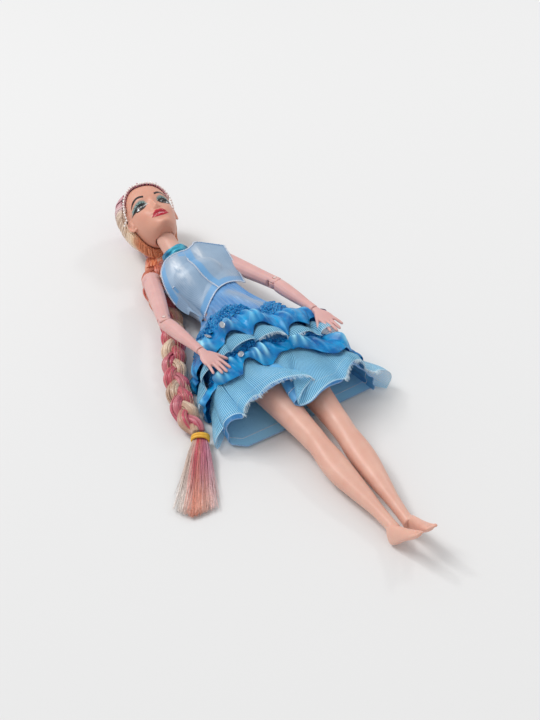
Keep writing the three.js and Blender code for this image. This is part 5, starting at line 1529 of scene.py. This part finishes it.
def make_collar():
    turn = np.linspace(-math.pi, math.pi, 97)
    grid = []
    for out, height in through(collar_section, 34):
        fold = 0.22 * np.sin(turn * 3 + height * 1.9) + 0.14 * np.sin(turn * 7 - height * 2.6)
        radius = collar_radius + out + fold * (1 if height > 0.4 else 0.3)
        step = collar_place + height * (1 + 0.1 * np.sin(turn * 2 + 1)) + 0.9 * np.sin(turn)
        grid.append(neck_base + np.outer(radius * np.cos(turn), leftward)
                    + np.outer(radius * np.sin(turn), neck_front) + np.outer(step, neck_way))
    make_sheet("collar_ribbon", np.array(grid), teal_satin, "collar_satin", "collar_band")


make_collar()

# %% [markdown]
# ## Skirt
# Below the waist the dress opens into a gathered yoke, two ruffles that each end in a stiff net frill,
# and a plain underskirt with a stitched hem. Every tier is a ring of cloth round the body: it arches
# over the hips and lies flat on the table underneath. The arch is measured along its own length, so
# that a fold can be put where the photograph shows it.

# %% Rings of the skirt
under_count = 120
arch_power = 3
share_mark = 1000
between_legs = -4.0
pleat_width, pleat_back, pleat_drop = 11, 31, 8


def arch(right, left, top, floor, count):
    """Evenly spaced points over the arch, from the doll's left side to its right side, and its length."""
    turn = np.linspace(0, math.pi, 400)
    x = np.where(np.cos(turn) < 0, right, left) * squared(np.cos(turn), arch_power)
    z = floor + (top - floor) * squared(np.sin(turn), arch_power)
    gone = np.concatenate([[0], np.cumsum(np.hypot(np.diff(x), np.diff(z)))])
    even = np.linspace(0, gone[-1], count)
    return np.interp(even, gone, x), np.interp(even, gone, z), gone[-1]


class Tier:
    """A band of the skirt as rows of rings. Rows hold y, right and left half width and top height."""

    def __init__(self, rows, floor, steps, count=420):
        self.count, self.floor, upper = count, floor, []
        self.s, self.v = np.linspace(0, 1, count)[None], np.linspace(0, 1, steps)[:, None]
        for y, right, left, top in through(rows, steps):
            x, z, self.length = arch(right, left, top, floor, count)
            upper.append(np.column_stack([x, np.full(count, y), z]))
        self.upper = np.array(upper)
        way = np.gradient(self.upper, axis=1)
        way[..., 1] = 0
        self.way = unit(way)
        out = np.stack([self.way[..., 2], 0 * self.way[..., 0], -self.way[..., 0]], axis=-1)
        self.out = out * np.where(out[..., [2]] > 0.02, 1, np.sign(out[..., [0]] * self.upper[..., [0]] + 1e-6))

    def between(self, top, low):
        """Lets the band run from one wavy line to another, each given as x and y points."""
        reach = max(3, self.count // 60)
        kernel = np.hanning(2 * reach + 1)
        lines = []
        for line in (top, low):
            wide = np.pad(read_off(self.upper[..., 0], line), ((0, 0), (reach, reach)), mode="edge")
            lines.append(np.array([np.convolve(row, kernel / kernel.sum(), mode="valid") for row in wide]))
        self.upper[..., 1] = between(self.v, *lines)
        return self

    def gap_from(self, where):
        """Distance along the arch from x, or from a share of the arch in thousandths over the share mark."""
        share = ((where - share_mark) / share_mark if where >= share_mark
                 else np.interp(-where, -self.upper[-1, :, 0], self.s[0]))
        return (self.s - share) * self.length

    def fold(self, outward_by, along_by=0, down_by=0.0):
        for way, amount in ((self.out, outward_by), (self.way, along_by)):
            self.upper = self.upper + way * np.broadcast_to(amount, self.upper.shape[:2])[..., None]
        self.upper[..., 1] -= down_by
        self.upper[..., 2] = np.maximum(self.upper[..., 2], self.floor)

    def flutes(self, crests, grow, pinch=0.5, dip=0.0):
        """Folds that stand out, each given as its place, height and half width."""
        total, shift = 0, 0
        for where, height, width in crests:
            gap = self.gap_from(where)
            total = total + height * bump(gap, 0, width)
            shift = shift + pinch * height * (gap / width) * bump(gap, 0, width)
        self.fold(total * grow, shift * grow, dip * total * grow)

    def pleat_between_legs(self, amount):
        """The deep pleat of the photograph, where the hem folds back and drops between the legs."""
        gap = self.gap_from(between_legs)
        turn, grow = (gap / pleat_width) * bump(gap, 0, pleat_width), ease(self.v, 0.1, 1.0)
        self.fold(pleat_drop * amount * turn * grow, -pleat_back * amount * turn * grow)
        self.upper[..., 1] -= pleat_drop * amount * bump(gap, -pleat_width * 0.35, pleat_width * 0.8) * grow

    def above_legs(self, room):
        """Keeps the cloth on top of the legs."""
        for name, _ in sides:
            hip, knee = joint_place(f"hip_swing_{name}"), joint_place(f"knee_{name}")
            down = np.clip((hip[1] - self.upper[..., 1]) / (hip[1] - knee[1]), 0, 1)
            radius = hip_radius * read_off(down, [row[:2] for row in thigh_shares])
            across = self.upper[..., 0] - (hip[0] + (knee[0] - hip[0]) * down)
            top = hip[2] + (knee[2] - hip[2]) * down + np.sqrt(np.maximum(radius ** 2 - across ** 2, 0)) + room
            over = (np.abs(across) < radius) & (self.upper[..., 1] < 4) & (self.upper[..., 2] > 8)
            self.upper[..., 2] = np.where(over, np.maximum(self.upper[..., 2], top), self.upper[..., 2])

    def ripple(self, luck, low, high, slant, count):
        """Uneven waves along the arch."""
        return sum(np.sin(self.s * luck.uniform(low, high) + luck.uniform(0, 6)
                          + self.v * luck.uniform(-slant, slant)) for _ in range(count)) / count

    def loop(self, slack, seed, sweep=()):
        """The whole ring: the arch, then the flat part underneath, whose hem may sweep down."""
        luck = np.random.default_rng(seed)
        share = np.linspace(0, 1, under_count + 2)[1:-1][None, :, None]
        low = self.upper[:, -1:] + (self.upper[:, :1] - self.upper[:, -1:]) * share
        if sweep:
            low[..., 1] -= read_off(share[..., 0], sweep) * self.v
        ripple = sum(np.sin(share[..., 0] * luck.uniform(10, 60) + luck.uniform(0, 6)) for _ in range(3)) / 3
        low[..., 2] = self.floor + slack * (0.5 + 0.5 * ripple)
        return np.concatenate([self.upper, low], axis=1)

    def whole(self, arch_mark, under=0.0):
        """A mark for the whole ring, with one value underneath."""
        return np.pad(arch_mark, ((0, 0), (0, under_count)), constant_values=under)


print("an arch over the hips is", round(arch(-28.0, 28.6, 28.8, 0.6, 400)[2]), "mm long")


# %% Split a ring between the legs
def halves_of(x):
    """Which points of a ring, from their x, go in its left and its right half."""
    count, top_count = len(x), len(x) - under_count
    front = int(np.abs(x[:top_count]).argmin())
    back = top_count + int(np.abs(x[top_count:]).argmin())
    return {"left": np.concatenate([np.arange(back, count), np.arange(0, front + 1)]),
            "right": np.arange(front, back + 1)}


def dress_pieces(name, ring, material, slot, node, marks=None):
    """Cuts a ring at the middle of its front and back, and makes each half a sheet of its own."""
    for leg, index in halves_of(ring[:, :, 0].mean(axis=0)).items():
        picked = {key: np.broadcast_to(value, ring.shape[:2])[:, index] for key, value in (marks or {}).items()}
        make_sheet(f"{name}_{leg}", ring[:, index], material, slot, node, picked, leg)
    return ring


# %% [markdown]
# The yoke is organza gathered into the waist seam. Fine folds run down from it, except for one smooth
# shiny patch beside the middle, where the cloth is stretched flat. The patch is glossier, and its greyer
# colour is a painted sheen.

# %% Yoke
yoke_rows = [(42, 14.2, 15.5, 24.2), (38, 15.2, 16.2, 24.4), (32, 17.2, 18.2, 25.2), (26, 20.4, 20.8, 26.2),
             (20, 23.8, 24.0, 27.0), (13, 26.2, 26.6, 28.2), (6, 28.0, 28.6, 28.8)]
waist_slant = [(-15, -10.5), (-9, -8.5), (0, -4), (2, -3.2), (10, 0), (16, 4.2)]


def yoke_finish():
    made = Finish("yoke_organza", (116, 168, 224), 0.38, Specular_IOR_Level=0.6, Sheen_Weight=0.35)
    run, fall = made.split_map()
    base = made.speckle(0.2, 3, (58, 126, 188), (98, 158, 212), stretch=(1, 0.3, 1))
    # the patch is glossier, and its grey colour is painted sheen
    painted_sheen_patch = made.mark("sheen")
    weave = made.times(made.waves(run, 0.5), made.waves(fall, 0.45))
    return made.surface(made.mix(painted_sheen_patch, base, (132, 158, 188)), weave, 0.05, 0.6, made.times(painted_sheen_patch, -0.16, 0.4))


def make_yoke():
    tier = Tier(yoke_rows, 0.6, 60)
    tier.upper[..., 1] += read_off(tier.upper[0, :, 0], waist_slant) * (1 - ease(tier.v, 0.0, 0.85))
    x, z = tier.upper[0, :, 0], tier.upper[0, :, 2]
    low_line = through(front_low, 200)
    seam_gap = (np.interp(x, low_line[:, 0], low_line[:, 2]) - 0.5 - z) * ((np.abs(x) < 14) & (z > 12))
    tier.upper[..., 2] += seam_gap * (1 - ease(tier.v, 0, 0.7))
    smooth = bump(tier.upper[..., 0] - 1.5 - (40 - tier.upper[..., 1]) * 0.42, 0, 3.4) * (tier.upper[..., 2] > 14)
    gather = np.sin(tier.s * 200 + 2.5 * np.sin(tier.s * 13)) * 0.45 + np.sin(tier.s * 83 + 1) * 0.4
    tier.fold(gather * (0.25 + 0.75 * ease(tier.v, 0, 0.6)) * (1 - smooth))
    tier.fold(0.8 * np.sin(math.pi * tier.v) * smooth)
    # the mark paints sheen on the smooth patch
    dress_pieces("yoke_gathers", tier.loop(0.15, 1), yoke_finish(), "blue_net", "skirt_yoke",
                 {"sheen": tier.whole(smooth * ease(tier.v, 0.1, 0.3))})


make_yoke()

# %% [markdown]
# The underskirt is plain satin, stitched up at the hem. At the front it follows the big folds of the
# lower frill, and its back lies on the table with the legs over it. The cloth that lies flat underneath
# is in the skirt's shade, and is painted paler: painted light.

# %% Underskirt
lower_crests = [(1955, 7.0, 6), (-38, 6.0, 4.5), (-29, 6.0, 4), (-17, 6.5, 5.0), (-1, 4.0, 5.5), (13, 5.0, 5.5),
                (28, 6.5, 5.5), (1045, 6.5, 7)]
lower_hem = [(-54, -43), (-46, -44), (-39, -47), (-33.5, -49.5), (-27, -45.5), (-20, -45), (-14.6, -48.5), (-6, -49.5),
             (2, -49), (5, -52), (9, -58), (15, -57.5), (21, -55.8), (28, -51), (34, -50), (40, -53), (51, -53)]
# y, right and left half width and height of the underskirt's rings
underskirt_rows = [(13.65, 24.91, 24.91, 27.72), (2.25, 27.73, 28.2, 27.44), (-15.8, 31.02, 31.96, 26.32),
                   (-31, 36.19, 37.6, 24.64), (-42.4, 39.01, 40.89, 22.96), (-51.9, 40.42, 42.77, 21.28)]
underskirt_top = [(-40, 14), (0, 14), (40, 13)]
back_hem = [(0, 2), (0.08, 7), (0.35, 5), (0.7, 1), (1, -2)]


def lifted(line, rise):
    """The same wavy line a little nearer the waist."""
    return [(x, y + rise) for x, y in line]


def make_underskirt():
    tier = Tier(underskirt_rows, 1.4, 66).between(underskirt_top, lifted(lower_hem, 1.5))
    tier.flutes(lower_crests[1:-1], ease(tier.v, 0.35, 1.0) * 0.7)
    tier.fold(0.5 * np.sin(tier.s * 70 + 3 * np.sin(tier.s * 9)) * ease(tier.v, 0.2, 0.8))
    tier.pleat_between_legs(0.95)
    tier.above_legs(0.5)
    # painted light: the flat cloth underneath is marked to be painted paler
    return dress_pieces("underskirt_satin", tier.loop(0.1, 3, back_hem), pale_satin, "pale_satin", "underskirt",
                        {"inside": tier.whole(0 * (tier.s + tier.v), 1.0)})


def stitched_hem(name, line, radius, material):
    """A running stitch round a ring, in two halves cut where the cloth is cut."""
    for leg, index in halves_of(line[:, 0]).items():
        hang(piping(f"{name}_{leg}", line[index], radius, material, "pale_satin", pitch=1.6, lift=0.1))


under_ring = make_underskirt()
stitched_hem("hem_stitch", under_ring[-7], 0.2, white_thread)
stitched_hem("hem_fold", under_ring[-1], 0.34, thread_finish("hem_edge", (150, 194, 240)))

# %% [markdown]
# Each ruffle starts with a heading, where bright satin is gathered so tightly that it crumples. Below it
# the satin puffs out in big soft folds.


# %% Ruffle of bright satin
def heading_finish():
    made = Finish("gathered_heading", (22, 118, 210), 0.25, Specular_IOR_Level=0.4, Coat_Weight=0.3)
    crumple = made.noise(1.3, 4)
    # painted light and shade: the colour follows the bump, light cyan on raised crumples and deep blue in the hollows
    painted_crumple_light = made.ramp(crumple, (0.34, (0, 80, 152)), (0.52, (0, 134, 206)), (0.72, (60, 198, 244)))
    return made.surface(painted_crumple_light, crumple, 1.2, 1.0, made.speckle(2.4, 2, 0.16, 0.42))


heading = heading_finish()


def make_heading(name, rows, floor, node, seed, top, low):
    luck = np.random.default_rng(seed)
    tier = Tier(rows, floor, 34, 620).between(top, low)
    tuft = tier.ripple(luck, 160, 420, 9, 5)
    ridges = sum(np.sin(tier.v * luck.uniform(14, 34) + np.sin(tier.s * luck.uniform(90, 200)) * 2)
                 for _ in range(3)) / 3
    wander = 1.2 * np.sin(tier.s * 23 + seed) + 0.8 * np.sin(tier.s * 51 + 2 * seed)
    body = np.sin(math.pi * np.clip(tier.v, 0.02, 0.98)) ** 0.5
    tier.fold((1.5 + 1.3 * tuft + 0.9 * ridges) * body, 0, (wander + 0.6 * ridges) * (1 - 0.6 * tier.v))
    dress_pieces(name, tier.loop(0.1, seed), heading, "blue_satin", node)


def make_satin(name, rows, floor, node, seed, crests, flatter, puff, top, low):
    luck = np.random.default_rng(seed)
    tier = Tier(rows, floor, 60, 520).between(top, low)
    soft, fine = tier.ripple(luck, 26, 70, 3, 5), tier.ripple(luck, 110, 190, 6, 3)
    swell = np.sin(math.pi * tier.v ** 0.8)
    tier.fold(puff * swell * (0.75 + 1.1 * soft) + fine * 1.3 * (1 - 0.7 * tier.v), soft * 1.6 * tier.v)
    tier.flutes([(x, height * flatter, width * 1.1) for x, height, width in crests], ease(tier.v, 0.15, 1.0))
    # painted highlight: the satin is painted lighter where it puffs out most
    crest = tier.whole(np.clip(0.15 + 1.5 * soft + 0.5 * fine, 0, 1) * swell)
    dress_pieces(name, tier.loop(0.1, seed), blue_satin, "blue_satin", node, {"crest": crest})


print("finishes:", heading.name, blue_satin.name)


# %% [markdown]
# The net is a stiff open weave with a rib about every millimetre along the skirt. It is made a little
# see-through in the gaps between the threads, so the satin below shows through it, and its lower edge is
# left raw, with the ribs ending in a short fringe.

# %% Net
rib_pitch = 1.0
net_sweep = [(0, 0), (0.07, -7), (0.93, -7), (1, 0)]


def net_finish():
    made = Finish("stiff_net", (134, 200, 232), 0.55, Specular_IOR_Level=0.3)
    rib = made.ramp(made.waves(made.split_map()[0], rib_pitch), (0.32, 0.0), (0.62, 1.0))
    edge = made.mark("edge")
    shaded = made.mix(made.times(rib, 0.6), made.speckle(0.16, 3, (100, 186, 232), (134, 208, 244)), (168, 224, 248))
    made.see_through(made.math("MAXIMUM", made.times(rib, 0.6, 0.32), made.times(edge, 0.8)))
    return made.surface(made.mix(made.times(edge, 0.6), shaded, (206, 234, 246)), rib, 0.3, 0.9)


net = net_finish()
fringe_thread = thread_finish("fringe_thread", (206, 228, 240))


def make_net(name, rows, floor, node, seed, crests, pinch, top, low, pleat=0.0):
    luck = np.random.default_rng(seed)
    tier = Tier(rows, floor, 56, 620).between(top, low)
    tier.flutes(crests, 0.3 + 0.7 * ease(tier.v, 0.0, 0.9), pinch, 0.12)
    soft = tier.ripple(luck, 30, 80, 2, 4)
    tier.fold(0.9 * soft * (0.3 + 0.7 * tier.v), 0, (0.9 * soft + 0.8 * np.sin(tier.s * 40 + seed)) * tier.v)
    if pleat:
        tier.pleat_between_legs(pleat)
        tier.above_legs(1.3)
    edge = 1 - ease((1 - tier.v) * 17, 0.35, 0.9)
    return dress_pieces(name, tier.loop(0.1, seed, net_sweep), net, "frill_net", node, {"edge": edge})


def make_fringe(name, ring, seed, share):
    """Loose rib ends along parts of the raw edge."""
    luck = np.random.default_rng(seed)
    paths = {"left": [], "right": []}
    steps = np.linspace(0, 1, 5)[:, None]
    for k, (edge, above) in enumerate(zip(ring[-1, :-under_count - 1], ring[-4])):
        if math.sin(k * 0.021 + seed) < 1 - 2 * share or luck.random() < 0.3:
            continue
        length = luck.uniform(1.0, 2.8)
        bend = np.array([luck.normal(0, 0.25), 0, luck.normal(0, 0.25)])
        path = edge + unit(edge - above) * steps * length + bend * steps ** 2 * length * 0.6
        path[:, 2] = np.maximum(path[:, 2], 0.3)
        paths["left" if edge[0] > 0 else "right"].append(path)
    for leg, lines in paths.items():
        if len(lines) > 2:
            piece = make_piece(f"{name}_{leg}", *bundle(lines, 0.12, 0.12, (0.1, 0.2, 1), 4), fringe_thread)
            hang(wear(piece, "frill_net"))


print("finishes:", net.name, fringe_thread.name)


# %% Upper ruffle
heading_top = [(-42, 13), (-30, 15), (-21, 18.4), (-17.4, 19.8), (-8.6, 19.1), (1.6, 19.6), (3.4, 14), (5.5, 9.6),
               (9, 10.5), (12, 13.6), (18, 13.8), (22.6, 13.1), (29.7, 11.5), (36.7, 7.9), (44, 5)]
heading_low = [(-42, 8), (-30, 7), (-21, 6.5), (-13.3, 5.6), (-6, 8), (0, 7), (5, 2), (9, -1), (13.7, -2.5), (20, 0),
               (26, 2), (32, 1), (44, -3)]
upper_low = [(-44, -9), (-36.7, -6), (-30, -8.5), (-24, -9.5), (-18, -5.5), (-14, -5.5), (-10.5, -12.5), (-6, -12),
             (-2, -8), (1.5, -8.5), (5, -19), (8.5, -23), (12, -17), (18, -15.5), (22, -19), (27.1, -12), (34, -13),
             (44, -16)]
upper_hem = [(-48, -17), (-38.8, -17.5), (-30, -17), (-21.6, -15.5), (-14, -17.5), (-9.6, -17), (-3, -19.5),
             (3, -21), (9, -27), (15, -27), (21, -29), (27, -25), (33, -24), (42, -27), (52, -27)]
heading_rows = [(20.6, 23.4, 23.8, 27.6), (13.0, 27.6, 28.2, 30.0), (4.8, 30.2, 31.0, 31.0)]
satin_rows = [(6, 29.6, 30.4, 30.2), (0, 31.8, 32.6, 31.6), (-7, 34, 35, 32.0), (-12.4, 35.4, 36.6, 31.0)]
net_rows = [(-9, 34.0, 33.4, 30.4), (-13, 35.8, 34.6, 30.4), (-17, 37.2, 35.8, 30), (-21.5, 38.4, 36.8, 29.4)]
upper_crests = [(1960, 5.0, 5), (-33, 7.5, 4.2), (-24, 4.0, 3.4), (-14.5, 9.0, 4.6), (-0.5, 9.0, 5.6), (14, 7.5, 5.0),
                (21, 4.0, 3.4), (30, 8.0, 4.6)]
make_heading("upper_heading", heading_rows, 0.3, "ruffle_upper", 4, heading_top, heading_low)
make_satin("upper_satin", satin_rows, 0.5, "ruffle_upper", 6, upper_crests, 0.55, 4.6, lifted(heading_low, 1.5),
           upper_low)
upper_ring = make_net("upper_net", net_rows, 0.72, "frill_upper", 8, upper_crests, 0.8, lifted(upper_low, 2.5),
                      upper_hem)
make_fringe("upper_fringe", upper_ring, 2, 0.25)

# %% Lower ruffle
low_heading_top = [(-48, -12), (-36, -13), (-28, -12), (-16.8, -13.5), (-3.6, -14), (3, -18), (8, -20), (17.4, -20),
                   (26, -20), (34, -21), (48, -24)]
low_heading_low = [(-48, -17), (-36, -18), (-28, -17), (-16.8, -18.5), (-3.6, -19), (6.5, -24.5), (12, -26),
                   (22, -26), (34, -27), (48, -30)]
lower_low = [(-52, -31), (-44.4, -30), (-38, -27), (-34, -24), (-29, -31), (-24, -31), (-19, -24.5), (-15.5, -25),
             (-12, -33), (-7, -33), (-2, -29.5), (6, -28.5), (11, -31), (16.3, -40), (21, -41), (25.2, -44),
             (31, -40), (36, -39), (44, -37), (54, -38)]
low_heading_rows = [(-13.8, 32.4, 33.4, 29.4), (-16.6, 33.6, 34.6, 30.0), (-20.6, 34.8, 36.2, 30.2)]
low_satin_rows = [(-20, 34.6, 35.8, 29.6), (-24, 36.0, 37.6, 30.2), (-29, 38.2, 40.4, 29.6), (-34, 39.6, 42.8, 28.6)]
low_net_rows = [(-30, 38.8, 41.4, 28.2), (-37, 40.2, 43.0, 27.2), (-44, 41.4, 44.5, 25.8), (-51.7, 42.8, 45.6, 24.0)]
make_heading("lower_heading", low_heading_rows, 0.88, "ruffle_lower", 9, low_heading_top, low_heading_low)
make_satin("lower_satin", low_satin_rows, 1.04, "ruffle_lower", 12, lower_crests, 0.6, 4.2,
           lifted(low_heading_low, 1.5), lower_low)
lower_ring = make_net("lower_net", low_net_rows, 1.2, "frill_lower", 14, lower_crests, 0.7, lifted(lower_low, 2.5),
                      lower_hem, 1.0)
make_fringe("lower_fringe", lower_ring, 5, 0.5)

# %% [markdown]
# ## Small trim
# Oval sequins are sewn here and there on the ruffles. Their places were read from the photograph as
# pixels. A ray from the camera through each pixel meets the cloth, and the sequin lies there.

# %% Sequins
sequin_pixels = [(223, 325), (208, 337), (264, 338), (241.5, 354.5), (206.7, 386)]
photo_width, photo_height = 540, 720
sequin_half_sizes, sequin_lift = (2.4, 1.6, 1.6), 0.15
sequin_profile = [(0.0, 0.5), (0.25, 0.92), (0.45, 1.0), (0.55, 0.82), (0.4, 0.5), (0.3, 0.2)]


def ray_through(pixel_x, pixel_y):
    """The direction from the camera through a pixel of the photograph."""
    x, y = (pixel_x - photo_width / 2) / (photo_height / 2), (photo_height / 2 - pixel_y) / (photo_height / 2)
    half = film_width / 2 / lens_length
    return (camera.matrix_world.to_3x3() @ Vector((x * half, y * half, -1))).normalized()


def make_sequins():
    silver = simple_finish("silver_sequin", (186, 192, 200), 0.22, (150, 158, 170), (214, 218, 224), (1.5, 3), (2.5, 2),
                           0.08, 0.6, Metallic=0.7)
    trees = {obj.name: ray_tree(obj) for obj in bpy.data.objects
             if obj.name.startswith(("upper_", "lower_", "yoke_")) and "fringe" not in obj.name}
    bodies = {"left": [], "right": []}
    start = Vector(measured(eye))
    for pixel in sequin_pixels:
        way = ray_through(*pixel)
        hits = [(*tree.ray_cast(start, way), name) for name, tree in trees.items()]
        hits = [(distance, place, normal, name) for place, normal, _, distance, name in hits if place is not None]
        if not hits:
            continue
        _, place, up, name = min(hits)
        up = np.array(-up if up.dot(way) > 0 else up)
        long_way = unit(np.array([0.2, -1, 0.1]) - up * np.dot([0.2, -1, 0.1], up))
        rings = [section(np.array(place) + up * (height + sequin_lift), np.array(sequin_half_sizes) * size, 26, 2.2,
                         long_way, np.cross(long_way, up)) for height, size in sequin_profile]
        bodies["left" if name.endswith("left") else "right"].append(loft(rings))
    for leg, parts in bodies.items():
        if parts:
            hang(wear(make_piece(f"sequins_{leg}", *merged(*parts), silver), "pearl"))


make_sequins()

# %% Ribbon loop behind the left wrist
loop_route = [(31.5, -3.5, 12), (37.2, -1.4, 17), (40.6, 0.4, 19.4), (43.1, -0.9, 20), (45.0, -2.0, 18.4),
              (42.6, -4.4, 15.5), (36.0, -5.6, 13), (31.0, -5.8, 11)]
ribbon_points, ribbon_faces = bundle(through(loop_route, 60)[None], 0.16, 0.6, (0, 0.25, 1), 10)
ribbon = make_piece("ribbon_loop", ribbon_points, ribbon_faces, plain_finish("navy_ribbon", (28, 50, 96), 0.35))
hang(wear(ribbon, "blue_satin"))
print("flat sizes of the sheets, mm:", sheet_sizes)

# %% [markdown]
# ## Floor and light
# A product photograph of a doll is made on a pale sweep with large soft lamps. A soft sun gives the
# faint shadow beside the doll, wide lamps make the long highlights on satin and hair, and the world
# fills the rest evenly, so that each colour renders about as it is written.

# %% Stage
floor_tone, floor_reach, floor_drop = (229, 229, 229), 4.0, 0.0002
room_light, sun_power = 0.64, 1.15


def make_stage():
    mesh = bpy.data.meshes.new("floor")
    corners = [(x * floor_reach, y * floor_reach, 0) for x, y in ((-1, -1), (1, -1), (1, 1), (-1, 1))]
    mesh.from_pydata(corners, [], [(0, 1, 2, 3)])
    mesh.materials.append(Finish("paper_sweep", floor_tone, 0.9, Specular_IOR_Level=0.0).material)
    floor = added("floor", mesh)
    floor.location.z = -floor_drop


def soft_lamp(name, place, aim, size, power):
    data = bpy.data.lights.new(name, "AREA")
    data.shape, data.size, data.energy = "DISK", size, power
    lamp = added(name, data)
    lamp.location = place
    lamp.rotation_euler = (Vector(aim) - Vector(place)).to_track_quat("-Z", "Y").to_euler()


def make_light():
    sky = bpy.data.worlds.new("soft_room")
    sky.use_nodes = True
    sky.node_tree.nodes["Background"].inputs[0].default_value = (1, 1, 1, 1)
    sky.node_tree.nodes["Background"].inputs[1].default_value = room_light
    bpy.context.scene.world = sky
    window = bpy.data.lights.new("window_light", "SUN")
    window.energy, window.angle = sun_power, math.radians(28)
    added("window_light", window).rotation_euler = Vector((-0.45, 0.5, 1)).to_track_quat("Z", "Y").to_euler()
    soft_lamp("strip_lamp", (-0.35, 0.55, 0.75), (0, 0, 0), 0.12, 1.3)
    soft_lamp("side_lamp", (0.75, 0.1, 0.8), (0, -0.05, 0), 0.16, 0.9)


make_stage()
make_light()
bpy.context.scene.view_settings.view_transform = "Standard"
print("floor and", len(bpy.data.lights), "lamps")

# %% [markdown]
# ## Finish
# The last cell gives the pins and pegs of the solid model their finish.

# %% Finish of the pins and pegs
node_finishes = {"neck_knob": inner_finish, "shoulder_peg": inner_finish, "thigh_rod": inner_finish,
                 "shin_rod": inner_finish, "hip_axle": steel_finish, "neck_pin": steel_finish,
                 "shoulder_pin": steel_finish, "knee_pin": steel_finish, "elbow_pin": elbow_finish}
for node_name, node in frame["nodes"].items():
    for start, finish in node_finishes.items():
        if node_name.startswith(start):
            for socket in node.material_slots:
                socket.material = finish
            print("finished", node_name)
